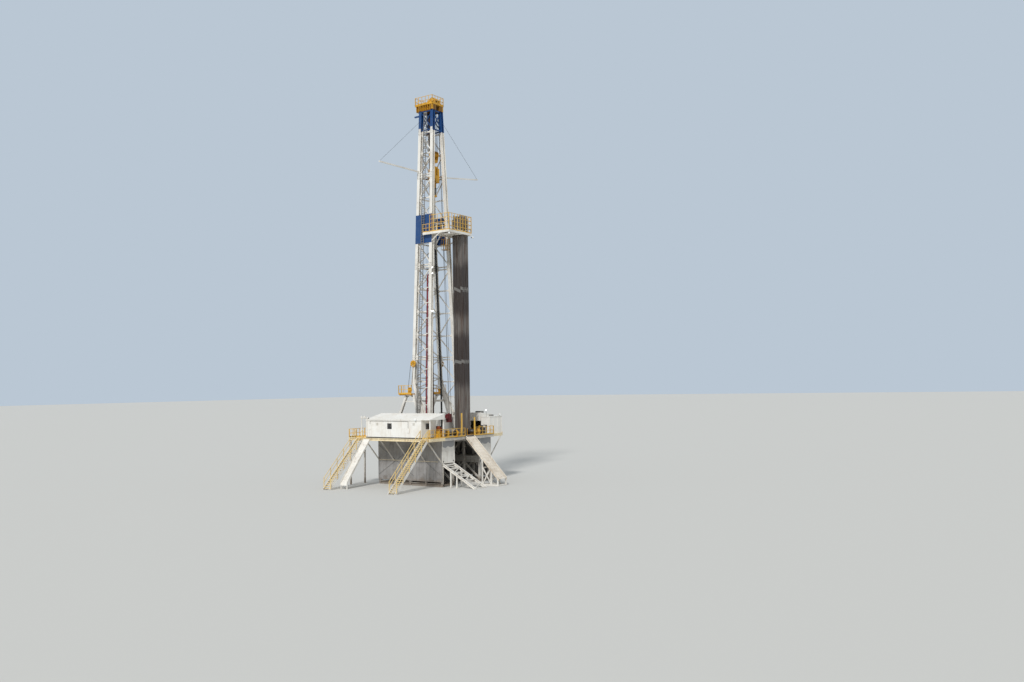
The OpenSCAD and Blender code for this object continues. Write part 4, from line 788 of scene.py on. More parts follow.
# Lines and hoses that run up inside the mast, clear of the hoist
lines = {"tugger": 0.011, "hose": 0.021, "cable": 0.014, "hoseStep": 0.05, "cableStep": 0.035,
         "hosePath": ((-0.6, 1.16, 0.3), (-0.62, 1.14, 3.4), (-0.6, 0.91, 8.0), (-0.59, 0.68, 12.4)),
         "cableLevels": (0.3, 5.0, 11.0, 15.5), "farClamp": (0.24, 0.09, 0.03), "nearClamp": (0.2, 0.06, 0.03)}
growTubes("tuggerLines", [[(0.12, side * (0.34 + 0.02 * k), 21.45), (0.3 + 0.12 * k, side * (0.98 + 0.05 * k), 0.35)]
                          for side in bothSides for k in (0, 1)], lines["tugger"], "lineSteel")
growTubes("mastHoses", [[(x + lines["hoseStep"] * k, y, h) for x, y, h in lines["hosePath"]] for k in range(3)],
          lines["hose"], "blackHose", sides=8, bend=0.3)
growTubes("mastCables", [[(legX(h, True) - 0.16 - lines["cableStep"] * k, -halfY(h) + 0.17, h)
                          for h in lines["cableLevels"]] for k in range(4)], lines["cable"], "blackHose", bend=0.2)
spots = []
for i in range(12):
    h = 0.8 + i
    if i > 3:
        spots.append(((-0.56, halfY(h) - 0.2, h), upright, lines["farClamp"]))
    spots.append(((legX(h, True) - 0.21, -halfY(h) + 0.17, h), upright, lines["nearClamp"]))
growCopies("hoseClamps", "block", spots, "greySteel")

# Raising lines from the leg sheaves to the raising frames' sheaves, and the sheaves' spokes
raising = {"frameX": -1.0, "frameY": 1.525, "frameH": 3.0, "legH": 4.7, "legOut": 0.157, "line": 0.013,
           "frameReach": 0.12, "legReach": 0.165, "spokes": 6, "spokeWidth": 0.02, "spokeDepth": 0.008,
           "spokeOut": 0.034}
sheaveX, sheaveY = legX(raising["legH"], False), halfY(raising["legH"]) + raising["legOut"]
growTubes("raisingLines", [
    [(raising["frameX"] + dx, side * raising["frameY"], raising["frameH"] + dz),
     (sheaveX + ex, side * sheaveY, raising["legH"] + ez)]
    for side in bothSides for dx, dz, ex, ez in ((-0.155, 0.02, -0.19, 0.08), (0.13, 0.08, 0.0, -0.2))],
    raising["line"], "lineSteel")
shape = bmesh.new()
for side in bothSides:
    for x, h, y, reach in ((raising["frameX"], raising["frameH"], raising["frameY"], raising["frameReach"]),
                           (sheaveX, raising["legH"], sheaveY, raising["legReach"])):
        for face in bothSides:
            hub = above(x, side * y + face * raising["spokeOut"], h)
            for k in range(raising["spokes"]):
                turn = 2 * math.pi * k / raising["spokes"]
                tip = hub + (axisX * math.cos(turn) + axisZ * math.sin(turn)) * reach
                addBar(shape, hub, tip, raising["spokeWidth"], raising["spokeDepth"], axisY)
makePiece("sheaveSpokes", shape, "brownPaint")

# Tool joints on the stands of pipe, no two rows at one height
stands = {"rows": 9, "columns": 8, "x": 1.2, "y": 0.4, "pitch": 0.09, "joint": (0.083, 0.083, 0.2),
          "levels": (4.72, 9.4), "rise": 0.06}
spots = []
for i in range(stands["rows"]):
    for j in range(stands["columns"]):
        for k, level in enumerate(stands["levels"]):
            rise = ((i * 5 + j * 7 + i * j) % 6) * stands["rise"] * (k + 1) / 3
            spots.append(((stands["x"] + stands["pitch"] * i, stands["y"] + stands["pitch"] * j, level + rise),
                          upright, stands["joint"]))
growCopies("toolJoints", "rod", spots, "greySteel", sides=12)

# Racking board: latches on the fingers, posts and gates, the basket below it and a ladder
board = {"h": 13.25, "latch": (0.05, 0.03, 0.035), "latchX": 1.155, "posts": (1.1, 1.62, 2.1), "postY": 1.17,
         "post": 0.04, "edge": 2.12}
spots = [((board["latchX"] + 0.09 * i, side * (0.4 + 0.09 * j), board["h"] + 0.018), upright, board["latch"])
         for side in bothSides for i in range(10) for j in range(8)]
growCopies("fingerLatches", "block", spots, "yellowPaint")
bars = []
for side in bothSides:
    y = side * board["postY"]
    bars += [((x, y, board["h"] - 0.02), (x, y, board["h"] + 0.34), board["post"], board["post"], axisX)
             for x in board["posts"]]
    bars.append(((board["edge"], side * 0.3, board["h"] + 0.02), (board["edge"], side * 1.12, board["h"] + 0.3),
                 0.02, 0.03, axisX))
makeSolids("boardPosts", "whitePaint", [((2.09, -0.25, board["h"] - 0.1), (2.135, 0.25, board["h"] + 0.09))], bars)
basket = {"low": (0.46, 0.08, 12.2), "high": (0.86, 0.5, 12.9), "wire": 0.011, "hangers": 13.11, "floor": 0.02}
(x0, y0, h0), (x1, y1, h1) = basket["low"], basket["high"]
hoops = [[(x0, y0, h), (x1, y0, h), (x1, y1, h), (x0, y1, h), (x0, y0, h)] for h in (h0, (h0 + h1) / 2, h1)]
stakes = [[(x, y, h0), (x, y, h1)] for x in (x0, (x0 + x1) / 2, x1) for y in (y0, (y0 + y1) / 2, y1)]
hangers = [[(x, y, h1), (x, y, basket["hangers"])] for x in (x0, x1) for y in (y0, y1)]
growTubes("stabbingBasket", hoops + stakes + hangers, basket["wire"], "yellowPaint")
makeSolids("basketFloor", "greySteel", [((x0, y0, h0), (x1, y1, h0 + basket["floor"]))])
climb = {"x": 0.62, "y": -1.0, "from": 13.3, "to": 14.5, "half": 0.09, "pitch": 0.1, "wire": 0.011}
edges = [climb["y"] + side * climb["half"] for side in bothSides]
rails = [[(climb["x"], y, climb["from"]), (climb["x"], y, climb["to"])] for y in edges]
rungs = [[(climb["x"], y, climb["from"] + climb["pitch"] * k) for y in edges] for k in range(1, 12)]
growTubes("boardLadder", rails + rungs, climb["wire"], "yellowPaint")

# Crown: a guard over the sheaves, a post, bolts, stiffeners and toe boards
crown = {"top": 21.96, "axle": 22.23, "guard": 0.235, "guardWidth": 0.34, "sheet": 0.008, "bolt": (0.03, 0.03, 0.02),
         "toeHeight": 0.09, "toe": 0.006, "bearer": (0.46, 0.6), "bearerH": (21.56, 21.9)}
turns = [math.radians(20 + 20 * k) for k in range(8)]
arc = [(math.cos(turn) * crown["guard"], 0, crown["axle"] + math.sin(turn) * crown["guard"]) for turn in turns]
makeSolids("crownGuard", "yellowPaint", bars=[
    (p, q, crown["guardWidth"], crown["sheet"], (Vector(q) - Vector(p)).cross(axisY)) for p, q in zip(arc, arc[1:])])
growTubes("crownPost", [[(-0.45, 0.3, crown["top"]), (-0.45, 0.3, 22.48)]], 0.014, "darkSteel", sides=8)
spots = [((-0.98 + 0.16 * i, side * 0.603, 21.73), alongY, crown["bolt"]) for side in bothSides for i in range(9)]
growCopies("crownBolts", "rod", spots, "darkSteel", spin=1.0, seed=7)
toeTop = crown["top"] + crown["toeHeight"]
boxes = [between(x, x + 0.018, *[side * y for y in crown["bearer"]], *crown["bearerH"])
         for x in [-1.0 + 0.19 * i for i in range(8)] for side in bothSides]
boxes += [((-1.11, side * 0.594 - crown["toe"], crown["top"]), (0.385, side * 0.594 + crown["toe"], toeTop))
          for side in bothSides]
boxes += [((x - crown["toe"], -0.6, crown["top"]), (x + crown["toe"], 0.6, toeTop)) for x in (-1.104, 0.379)]
makeSolids("crownStiffeners", "yellowPaint", boxes)

# Floodlights: a housing, a lens and a bracket each, by place and heading
lamps = {"housing": (0.11, 0.075, 0.09), "lens": (0.095, 0.012, 0.074), "bracket": (0.02, 0.1, 0.05),
         "tip": -20, "lensOut": 0.041, "lensDrop": 0.012, "bracketBack": 0.07, "bracketDrop": 0.02}
lampAt = [(0.59, -1.02, 10.93, -60), (0.59, -1.02, 10.55, -60), (0.66, -1.17, 8.06, -60), (0.78, -1.17, 8.02, -30),
          (-0.79, -1.42, 4.6, -120), (0.66, 1.17, 8.06, 60), (-0.79, 1.0, 11.3, 120), (2.2, -1.24, 13.0, -45),
          (2.2, 1.24, 13.0, 45), (2.6, -2.66, 1.28, -90), (1.65, -4.06, 1.16, -80), (-2.45, -4.0, 1.26, -120),
          (2.32, 3.8, 1.24, -20), (2.05, 2.63, 1.56, -60), (-1.8, 2.55, 1.2, -90)]
housings, lenses, brackets = [], [], []
for x, y, h, heading in lampAt:
    turn = (math.radians(lamps["tip"]), 0, math.radians(heading + 90))
    toward = Vector((math.cos(math.radians(heading)), math.sin(math.radians(heading)), 0))
    spot = Vector((x, y, h))
    housings.append((spot, turn, lamps["housing"]))
    lenses.append((spot + toward * lamps["lensOut"] - axisZ * lamps["lensDrop"], turn, lamps["lens"]))
    brackets.append((spot - toward * lamps["bracketBack"] - axisZ * lamps["bracketDrop"], turn, lamps["bracket"]))
growCopies("lampHousings", "block", housings, "housePaint")
growCopies("lampLenses", "block", lenses, "lampLens")
growCopies("lampBrackets", "block", brackets, "darkSteel")
print("mast, board and crown details made")

# Doghouse: seams between its panels, skirt, window and door frames, louvres, gutter and fittings
house = {"x": (-2.55, 2.05), "y": (-4.0, -2.6), "top": 1.1, "seams": (-2.0, -1.235, -0.9, 0.285, 0.95, 1.805),
         "endSeams": (-3.98, -3.1, -2.62), "seam": 0.014, "foot": 0.02, "skirt": 0.016, "skirtTop": 0.06}
seam, foot = house["seam"], house["foot"]
(x0, x1), (y0, y1) = house["x"], house["y"]
boxes = [((x - seam, y + low, foot), (x + seam, y + low + seam, house["top"]))
         for x in (x0 + 0.02, *house["seams"], x1 - 0.02) for y, low in ((y0, -0.012), (y1, -0.002))]
boxes += [((x + low, y - seam, foot), (x + low + seam, y + seam, house["top"]))
          for y in house["endSeams"] for x, low in ((x1, -0.002), (x0, -0.012))]
makeSolids("houseSeams", "housePaint", boxes)
makeSolids("houseSkirt", "darkSteel", [((x0, y0 - house["skirt"], 0.0), (x1, y0, house["skirtTop"])),
                                       ((x0, y1, 0.0), (x1, y1 + house["skirt"], house["skirtTop"])),
                                       ((x1, y0, 0.0), (x1 + house["skirt"], y1, house["skirtTop"]))])
windows = {"places": (((-0.55, -3.998, 0.75), axisX, axisY), ((2.048, -3.4, 0.75), axisY, axisX)),
           "width": 0.33, "height": 0.32, "frame": (0.028, 0.03), "middleBar": (0.014, 0.02)}
bars = []
for middle, across, out in windows["places"]:
    middle, across, up = Vector(middle), across * (windows["width"] / 2), axisZ * (windows["height"] / 2)
    reach = up + axisZ * (windows["frame"][0] / 2)
    for k in bothSides:
        bars += [(middle + across * k - reach, middle + across * k + reach, *windows["frame"], out),
                 (middle + up * k - across, middle + up * k + across, *windows["frame"], out)]
    bars.append((middle - up, middle + up, *windows["middleBar"], out))
makeSolids("windowFrames", "darkSteel", bars=bars)
door = {"posts": (1.19, 1.61), "halfPost": 0.02, "y": (-2.605, -2.58), "hinges": (0.18, 0.52, 0.86), "hinge": 0.03}
(y0, y1), half = door["y"], door["halfPost"]
makeSolids("doorFrame", "greySteel",
           [((x - half, y0, 0.03), (x + half, y1, 1.0)) for x in door["posts"]]
           + [((1.17, y0, 0.98), (1.63, y1, 1.02)), ((1.23, -2.598, 0.45), (1.25, -2.55, 0.5))],
           rods=[((1.2, -2.56, 0.5), (1.31, -2.56, 0.5), 0.009, 8)]
           + [((1.595, -2.585, h - door["hinge"]), (1.595, -2.585, h + door["hinge"]), 0.012, 8)
              for h in door["hinges"]])
louvres = {"places": ((-1.6, -4.006, 0.8, -1), (1.45, -4.006, 0.82, -1), (-1.7, -2.594, 0.7, 1)), "count": 7,
           "pitch": 0.025, "size": (0.2, 0.018, 0.004), "tilt": 0.6, "out": 0.004}
growCopies("houseLouvres", "block", [
    ((x, y + out * louvres["out"], h + louvres["pitch"] * k), (louvres["tilt"] * out, 0, 0), louvres["size"])
    for x, y, h, out in louvres["places"] for k in range(louvres["count"])], "housePaint")
makeSolids("houseFittings", "housePaint",
           [((-2.57, -4.034, 1.085), (2.07, -4.02, 1.135)), ((0.9, -4.03, 0.35), (1.12, -4.0, 0.62)),
            ((-2.3, -4.03, 0.5), (-2.12, -4.0, 0.85))],
           rods=[((-2.46, -4.024, 0.0), (-2.46, -4.024, 1.1), 0.012, 8)], soften=0.003)

# Canopy: ribs over the sheet, rafters and an edge strip, lamps and a conduit under it
canopy = {"low": (-4.04, 1.142), "high": (-2.56, 1.482), "thick": 0.03, "ribs": 30, "from": -2.5, "pitch": 0.175,
          "ribWidth": 0.028, "ribHeight": 0.012, "rafters": (-1.9, -0.6, 0.7, 1.4, 2.35), "rafter": (0.03, 0.04),
          "lamps": ((1.05, 1.3), (1.63, 1.32)), "lampY": (-2.59, -2.52), "conduit": 0.009}
(yLow, hLow), (yHigh, hHigh) = canopy["low"], canopy["high"]
tilt = math.atan2(hHigh - hLow, yHigh - yLow)
ribSize = (canopy["ribWidth"], math.hypot(yHigh - yLow, hHigh - hLow) - 0.02, canopy["ribHeight"])
ribH = (hLow + hHigh) / 2 + canopy["thick"] + 0.003
growCopies("canopyRibs", "block", [((canopy["from"] + canopy["pitch"] * i, (yLow + yHigh) / 2, ribH), (tilt, 0, 0),
                                    ribSize) for i in range(canopy["ribs"])], "housePaint")
makeSolids("canopyFrame", "housePaint", [((-2.55, -2.57, 1.43), (2.72, -2.55, 1.5))],
           [((x, yLow + 0.06, hLow - 0.012), (x, yHigh - 0.03, hHigh - 0.018), *canopy["rafter"])
            for x in canopy["rafters"]])
y0, y1 = canopy["lampY"]
makeSolids("canopyLamps", "darkSteel",
           bars=[((x, y0, h), (x, y0, h + 0.13), 0.02, 0.02, axisX) for x, h in canopy["lamps"]],
           rods=[((x, y0, h), (x, y1, h - 0.03), 0.04, 12, 0.055) for x, h in canopy["lamps"]])
growTubes("canopyConduit", [[(-2.45, -2.58, 1.4), (2.3, -2.58, 1.4), (2.3, -2.58, 0.3)],
                            [(-2.2, -4.012, 0.86), (-2.2, -4.012, 1.06), (1.0, -4.012, 1.06), (1.0, -4.012, 0.62)]],
          canopy["conduit"], "greySteel", bend=0.05)

# Lamp post at the landing's corner, bent over towards the doghouse, with two heads
post = {"x": -3.02, "y": -3.94, "arm": -2.62, "top": 1.24, "radius": 0.03, "heads": (-2.98, -2.72)}
growTubes("lampPost", [[(post["x"], post["y"], 0.0), (post["x"], post["y"], post["top"]),
                        (post["arm"], post["y"], post["top"])]], post["radius"], "housePaint", sides=10, bend=0.1)
makeSolids("postFoot", "greySteel", [((-3.08, -4.0, 0.0), (-2.96, -3.88, 0.015))])
makeSolids("postLamps", "housePaint", [((x - 0.06, -4.0, 1.25), (x + 0.06, -3.92, 1.36)) for x in post["heads"]],
           soften=0.006)

# Far house: seams, roof units, and what stands inside its open bay
farHouse = {"seams": (-2.53, -1.6, -0.7, 0.2, 0.72, 1.68, 2.33), "endSeams": (2.62, 3.07, 3.53, 3.98), "top": 1.1,
            "bayTop": 0.84, "low": (-1.9, 1.65), "bay": (0.72, 1.68), "y": 2.588, "x": 2.348}
farX, farY = farHouse["x"], farHouse["y"]
boxes = [((x - seam, farY, foot), (x + seam, farY + seam,
                                   farHouse["bayTop" if farHouse["low"][0] < x < farHouse["low"][1] else "top"]))
         for x in farHouse["seams"]]
boxes += [((farX, y - seam, foot), (farX + seam, y + seam, farHouse["top"])) for y in farHouse["endSeams"]]
boxes += [((farHouse["bay"][0], 2.585, h), (farHouse["bay"][1], 2.6, h + 0.03)) for h in (farHouse["bayTop"], 0.17)]
makeSolids("farSeams", "housePaint", boxes)
makeSolids("roofUnit", "greySteel", [((1.12, 2.68, 1.3), (1.58, 3.02, 1.49)), ((1.8, 3.3, 1.14), (2.05, 3.5, 1.24))],
           soften=0.01)
growCopies("unitLouvres", "block", [((1.35, 2.676, 1.33 + 0.02 * k), (0.5, 0, 0), (0.38, 0.02, 0.004))
                                    for k in range(8)], "darkSteel")
growTubes("roofLampPost", [[(2.05, 2.66, 1.1), (2.05, 2.66, 1.53)], [(2.32, 3.8, 1.13), (2.32, 3.8, 1.2)]], 0.012,
          "greySteel", sides=8)
shelf = {"h": 0.51, "posts": (0.8, 1.2, 1.58), "drums": ((0.92, 0.09, 0.2), (1.14, 0.07, 0.24), (1.38, 0.1, 0.17))}
makeSolids("bayShelf", "darkSteel",
           [((0.8, 3.0, 0.48), (1.6, 3.3, shelf["h"])), ((0.8, 3.28, 0.04), (1.6, 3.31, farHouse["bayTop"]))]
           + [((x, 2.99, 0.04), (x + 0.02, 3.28, 0.5)) for x in shelf["posts"]])
makeSolids("bayDrums", "brownPaint", [((0.86, 2.78, 0.04), (1.18, 3.0, 0.36))],
           rods=[((x, 3.13, shelf["h"]), (x, 3.13, shelf["h"] + tall), radius, 18)
                 for x, radius, tall in shelf["drums"]])
makeSolids("bayPump", "yellowPaint", [((1.25, 2.74, 0.04), (1.58, 2.96, 0.42))],
           rods=[((1.28, 2.85, 0.47), (1.56, 2.85, 0.47), 0.06, 16)], soften=0.008)

# Winches: the frame's sizes and the drum's, as shares of the winch's own size
winch = {"places": ((2.5, -1.62, 0.6, 1.2), (2.3, 0.78, 0.62, 0.6), (1.4, 2.25, 0.5, 0.0), (-1.9, -0.6, 0.6, 1.57),
                    (-1.9, 0.7, 0.6, 1.57)),
         "frame": 0.5, "halfDepth": 0.4, "frameH": 0.35, "plate": (0.05, 0.7), "base": 0.55, "basePlate": (0.8, 0.06),
         "axle": 0.4, "motor": (0.52, 0.85, 0.17), "drum": (0.48, 0.2), "flange": (0.44, 0.02, 0.3)}
bars, motors, drums = [], [], []
for x, y, size, turn in winch["places"]:
    ahead = Vector((math.cos(turn), math.sin(turn), 0)) * size
    aside = Vector((-math.sin(turn), math.cos(turn), 0)) * size
    middle, up = above(x, y, 0.0), axisZ * size
    axle = middle + up * winch["axle"]
    for k in bothSides:
        cheek, wide = middle + ahead * (k * winch["frame"]) + up * winch["frameH"], aside * winch["halfDepth"]
        bars.append((cheek - wide, cheek + wide, *[part * size for part in winch["plate"]]))
        edge, half, radius = winch["flange"]
        drums.append((axle + ahead * (k * edge - half), axle + ahead * (k * edge + half), radius * size, 20))
    bars.append((middle - ahead * winch["base"] + up * 0.03, middle + ahead * winch["base"] + up * 0.03,
                 *[part * size for part in winch["basePlate"]]))
    near, far, radius = winch["motor"]
    motors.append((axle + ahead * near, axle + ahead * far, radius * size, 16))
    half, radius = winch["drum"]
    drums.append((axle - ahead * half, axle + ahead * half, radius * size, 20))
makeSolids("winchFrames", "yellowPaint", bars=bars, rods=motors, at=world, soften=0.004)
makeSolids("winchDrums", "darkSteel", rods=drums, at=world)

# Cabinets, a post, the two tongs and their wires
makeSolids("floorCabinets", "darkSteel", [
    ((2.2, 1.72, 0.0), (2.46, 1.98, 0.46)), ((2.23, 1.75, 0.46), (2.35, 1.9, 0.6)),
    ((-2.5, -1.15, 0.0), (-2.15, -0.9, 0.7)), ((-2.6, 0.9, 0.0), (-2.2, 1.25, 0.55))], soften=0.01)
makeSolids("brownPost", "brownPaint", bars=[((2.6, 1.9, 0.0), (2.6, 1.9, 0.62), 0.07, 0.07, axisX),
                                            ((2.6, 1.9, 0.6), (2.6, 1.62, 0.6), 0.05, 0.05)])
tongs = {"body": (0.09, 0.12), "hanger": (0.05, 0.07, axisX), "handle": (0.05, 0.08), "jaw": (0.1, 16), "wire": 0.008}
makeSolids("hangingTong", "redPaint",
           [((0.12, 0.78, 0.8), (0.36, 1.12, 1.36)), ((0.16, 0.62, 1.1), (0.32, 0.8, 1.3))],
           [((0.25, 0.7, 1.05), (0.25, 1.1, 1.12), *tongs["body"]),
            ((0.25, 0.92, 1.1), (0.25, 0.92, 1.42), *tongs["hanger"]),
            ((0.25, 0.72, 1.08), (0.38, 0.52, 1.06), *tongs["handle"])],
           [((0.25, 0.72, 0.98), (0.25, 0.72, 1.2), *tongs["jaw"])], soften=0.008)
growTubes("tongWire", [[(0.25, 0.92, 1.42), (0.2, 0.62, 13.1)], [(-0.25, -0.9, 1.35), (-0.2, -0.55, 13.1)]],
          tongs["wire"], "lineSteel")
makeSolids("nearTong", "orangePaint", bars=[((-0.25, -0.75, 1.05), (-0.25, -1.12, 1.1), *tongs["body"]),
                                            ((-0.25, -0.9, 1.08), (-0.25, -0.9, 1.36), *tongs["hanger"])],
           rods=[((-0.25, -0.76, 0.98), (-0.25, -0.76, 1.2), *tongs["jaw"])], soften=0.008)

# Yellow machine with its orange head between the canopy's posts
makeSolids("edgeMachine", "yellowPaint", [((2.32, -2.98, 0.0), (2.52, -2.66, 0.3))],
           [((2.45, -2.5, 0.0), (2.45, -2.5, 0.42), 0.06, 0.06, axisX)],
           [((2.42, -2.98, 0.36), (2.42, -2.66, 0.36), 0.09, 18)], soften=0.008)
makeSolids("machineHead", "orangePaint", [((2.34, -2.86, 0.46), (2.48, -2.72, 0.74))],
           rods=[((2.41, -2.79, 0.36), (2.41, -2.79, 0.5), 0.04, 14)], soften=0.01)


def around(count):  # the directions of what stands in a ring
    return [(math.cos(2 * math.pi * k / count), math.sin(2 * math.pi * k / count)) for k in range(count)]


# Rotary table: bolts round its flange
rotary = {"ring": 0.475, "h": 0.055, "bolts": 16, "bolt": (0.03, 0.03, 0.03)}
growCopies("rotaryBolts", "rod", [((rotary["ring"] * c, rotary["ring"] * s, rotary["h"]), upright, rotary["bolt"])
                                  for c, s in around(rotary["bolts"])], "darkSteel", spin=1.0, seed=5)

# Wrench machine: rollers, a jaw block, a post and hoses held at both ends
wrench = {"rollers": (-2.34, -2.16), "roller": 0.045, "hoses": 3, "hose": 0.011, "hoseStep": 0.03}
makeSolids("wrenchParts", "darkSteel", [((1.74, -2.3, 0.6), (1.92, -2.2, 0.7))],
           rods=[((1.8, y, 0.3), (1.8, y, 0.63), wrench["roller"], 16) for y in wrench["rollers"]]
           + [((2.15, -2.25, 0.62), (2.15, -2.25, 0.72), 0.05, 16),
              ((2.19, -2.16, 0.1), (2.19, -2.16, 0.55), 0.022, 12)])
growTubes("wrenchHoses", [[(2.2 + dx, -2.3, 0.06), (2.26 + dx, -2.3, 0.4), (2.2, -2.27, 0.66), (1.95, -2.25, 0.62)]
                          for dx in [wrench["hoseStep"] * k for k in range(wrench["hoses"])]],
          wrench["hose"], "blackHose", bend=0.08)
print("houses and floor machines made")

# Toe boards along the floor's edges
toe = {"height": 0.075, "half": 0.006, "sides": ((-4.08, -2.6, -3.985), (2.1, 2.73, -3.985), (-2.85, -2.6, 3.985),
                                                 (2.37, 2.4, 3.985)), "ends": ((-3.95, -0.8), (0.85, 2.5))}
makeSolids("toeBoards", "railPaint",
           [((x0, y - toe["half"], 0.0), (x1, y + toe["half"], toe["height"])) for x0, x1, y in toe["sides"]]
           + [((2.728, y0, 0.0), (2.74, y1, toe["height"])) for y0, y1 in toe["ends"]])

# Pipe ramp: wear bars on its floor, stiffeners on its side beams, and a roller at its top
ramp = {"x": 2.75, "run": 2.49, "top": 3.05, "drop": 2.55, "bars": 15, "bar": (0.025, 0.016), "half": 0.385,
        "runners": (-0.2, 0.0, 0.2), "runner": (0.03, 0.012), "ribs": 10, "rib": (0.012, 0.03), "ribY": 0.472}
rampUp = (ramp["drop"] / ramp["run"], 0, 1)


def onRamp(share, y, up):  # a share of the way down from the floor
    return rig(ramp["x"] + ramp["run"] * share, y, ramp["top"] - ramp["drop"] * share + up)


bars = [((s, -ramp["half"], -0.055), (s, ramp["half"], -0.055), *ramp["bar"], rampUp)
        for s in [0.05 + 0.065 * k for k in range(ramp["bars"])]]
bars += [((0.02, y, -0.052), (0.97, y, -0.052), *ramp["runner"], rampUp) for y in ramp["runners"]]
makeSolids("rampBars", "rampPaint", bars=bars, at=onRamp)
makeSolids("rampStiffeners", "whitePaint", at=onRamp, bars=[
    ((0.05 + 0.1 * k, side * ramp["ribY"], -0.15), (0.05 + 0.1 * k, side * ramp["ribY"], -0.022), *ramp["rib"], axisY)
    for side in bothSides for k in range(ramp["ribs"])])
makeSolids("rampRoller", "pipeSteel", rods=[((2.72, -0.4, 0.03), (2.72, 0.4, 0.03), 0.03, 14)])

# Boxes of the substructure: pad-eyes, pins at their corners and gussets at the posts
base = {"eyes": (-2.78, -0.2, 2.4), "eye": (0.14, 0.14, 0.14), "pinX": 2.47, "pinY": (1.42, 2.43),
        "pinZ": (0.12, 1.33, 1.57, 2.9), "pin": (0.09, 0.09, 0.03), "posts": (-2.79, -1.46, -0.195, 1.13, 2.4),
        "corners": ((0.15, 1), (1.3, -1), (1.6, 1), (2.86, -1)), "gusset": 0.15, "thickness": 0.012}
growCopies("padEyes", "ring", [((x, side * 2.45, 0.12), alongY, base["eye"]) for side in bothSides
                               for x in base["eyes"]], "darkSteel", at=rig, sides=14)
growCopies("boxPins", "rod", [((base["pinX"], side * y, z), alongX, base["pin"]) for side in bothSides
                              for z in base["pinZ"] for y in base["pinY"]], "darkSteel", at=rig, sides=12)
shape = bmesh.new()
for side, x, into in [(side, x, into) for side in bothSides for x in base["posts"] for into in bothSides]:
    if -2.7 < x + into * 0.2 < 2.4:
        for z, up in base["corners"]:
            corner = rig(x + into * 0.04, side * 1.375 - base["thickness"] / 2, z)
            addGusset(shape, corner, axisX * (into * base["gusset"]), axisZ * (up * base["gusset"]),
                      axisY * base["thickness"])
makePiece("boxGussets", shape, "boxPaint")

# End panels' frames, and the rail, brace and bar in front of the substructure
panels = {"x": (2.48, 2.492), "posts": (1.33, 2.52), "halfPost": 0.02, "z": (1.47, 2.96), "top": 2.98,
          "y": (1.31, 2.54), "rail": 0.025}
x0, x1 = panels["x"]
boxes = [((x0, side * y - panels["halfPost"], panels["z"][0]), (x1, side * y + panels["halfPost"], panels["top"]))
         for side in bothSides for y in panels["posts"]]
boxes += [between(x0, x1, *[side * y for y in panels["y"]], z, z + panels["rail"])
          for side in bothSides for z in panels["z"]]
makeSolids("panelFrames", "whitePaint", boxes, at=rig)
wallRail = {"y": -2.64, "wallY": -2.56, "z": 1.56, "brackets": (-2.6, -1.4, -0.2, 1.0, 2.15), "radius": 0.012}
railY, railZ = wallRail["y"], wallRail["z"]
growTubes("wallRail", [[(-2.7, railY, railZ), (2.2, railY, railZ)]]
          + [[(x, wallRail["wallY"], railZ), (x, railY, railZ)] for x in wallRail["brackets"]],
          wallRail["radius"], "creamPaint", at=rig)
makeSolids("thinBrace", "creamPaint", bars=[((1.49, -2.72, 2.643), (2.44, -2.72, 1.72), 0.03, 0.03)], at=rig)
makeSolids("whiteBar", "whitePaint", [((2.5, 1.5, 2.38), (2.56, 2.1, 2.43))], at=rig)

# Pipes, a tank and the stack over the well, in the dark bay behind the ramp
bay = {"tank": 0.3, "tankFeet": (-0.7, 0.7), "pipe": 0.055, "ring": 0.22,
       "stack": ((0.35, 0.24), (0.62, 0.2), (0.95, 0.24), (1.3, 0.2), (1.66, 0.26))}
makeSolids("lowTank", "darkSteel", [((0.62, y - 0.04, 0.0), (1.18, y + 0.04, 0.3)) for y in bay["tankFeet"]],
           rods=[((0.9, -1.0, 0.42), (0.9, 1.0, 0.42), bay["tank"], 24)], at=rig)
growTubes("lowPipes", [[(2.3, -0.9, 0.25), (0.2, -0.9, 0.25), (0.2, -0.9, 1.9), (0.2, 0.5, 1.9)],
                       [(2.2, 0.9, 0.2), (-0.4, 0.9, 0.2), (-0.4, 0.9, 2.2)],
                       [(0.0, 0.0, 0.1), (0.0, 0.0, 2.2)]], bay["pipe"], "greySteel", at=rig, sides=12, bend=0.16)
makeSolids("wellStack", "redPaint", rods=[((0, 0, z), (0, 0, z + bay["ring"]), radius, 20)
                                          for z, radius in bay["stack"]], at=rig)

# Wall sheets: their fixing strips and bolts, and thin dark rods across them as painted shade of the braces
wall = {"x": (-2.84, 2.45), "y": (2.566, 2.585), "levels": (0.5, 1.45, 2.4), "strip": 0.03, "bolts": 19,
        "pitch": 0.28, "bolt": (0.02, 0.02, 0.014), "shadeLineY": -2.596, "shadeLine": 0.007,
        "shadeLines": ((-2.8, 2.5, 0.2, 0.6), (-2.8, 0.6, 0.2, 2.5), (-0.2, 2.5, 2.4, 0.7))}
makeSolids("wallStrips", "wallPaint", [between(*wall["x"], *[side * y for y in wall["y"]], z, z + wall["strip"])
                                       for side in bothSides for z in wall["levels"]], at=rig)
spots = [((-2.63 + wall["pitch"] * i, side * 2.587, z + wall["strip"] / 2), alongY, wall["bolt"])
         for side in bothSides for z in wall["levels"] for i in range(wall["bolts"])]
growCopies("wallBolts", "rod", spots, "darkSteel", at=rig, spin=1.0, seed=9)
# painted shade: dark lines where the braces' shade crosses the wall
growTubes("wallShadeLines", [[(x0, wall["shadeLineY"], z0), (x1, wall["shadeLineY"], z1)] for x0, z0, x1, z1 in wall["shadeLines"]],
          wall["shadeLine"], "darkSteel", at=rig)

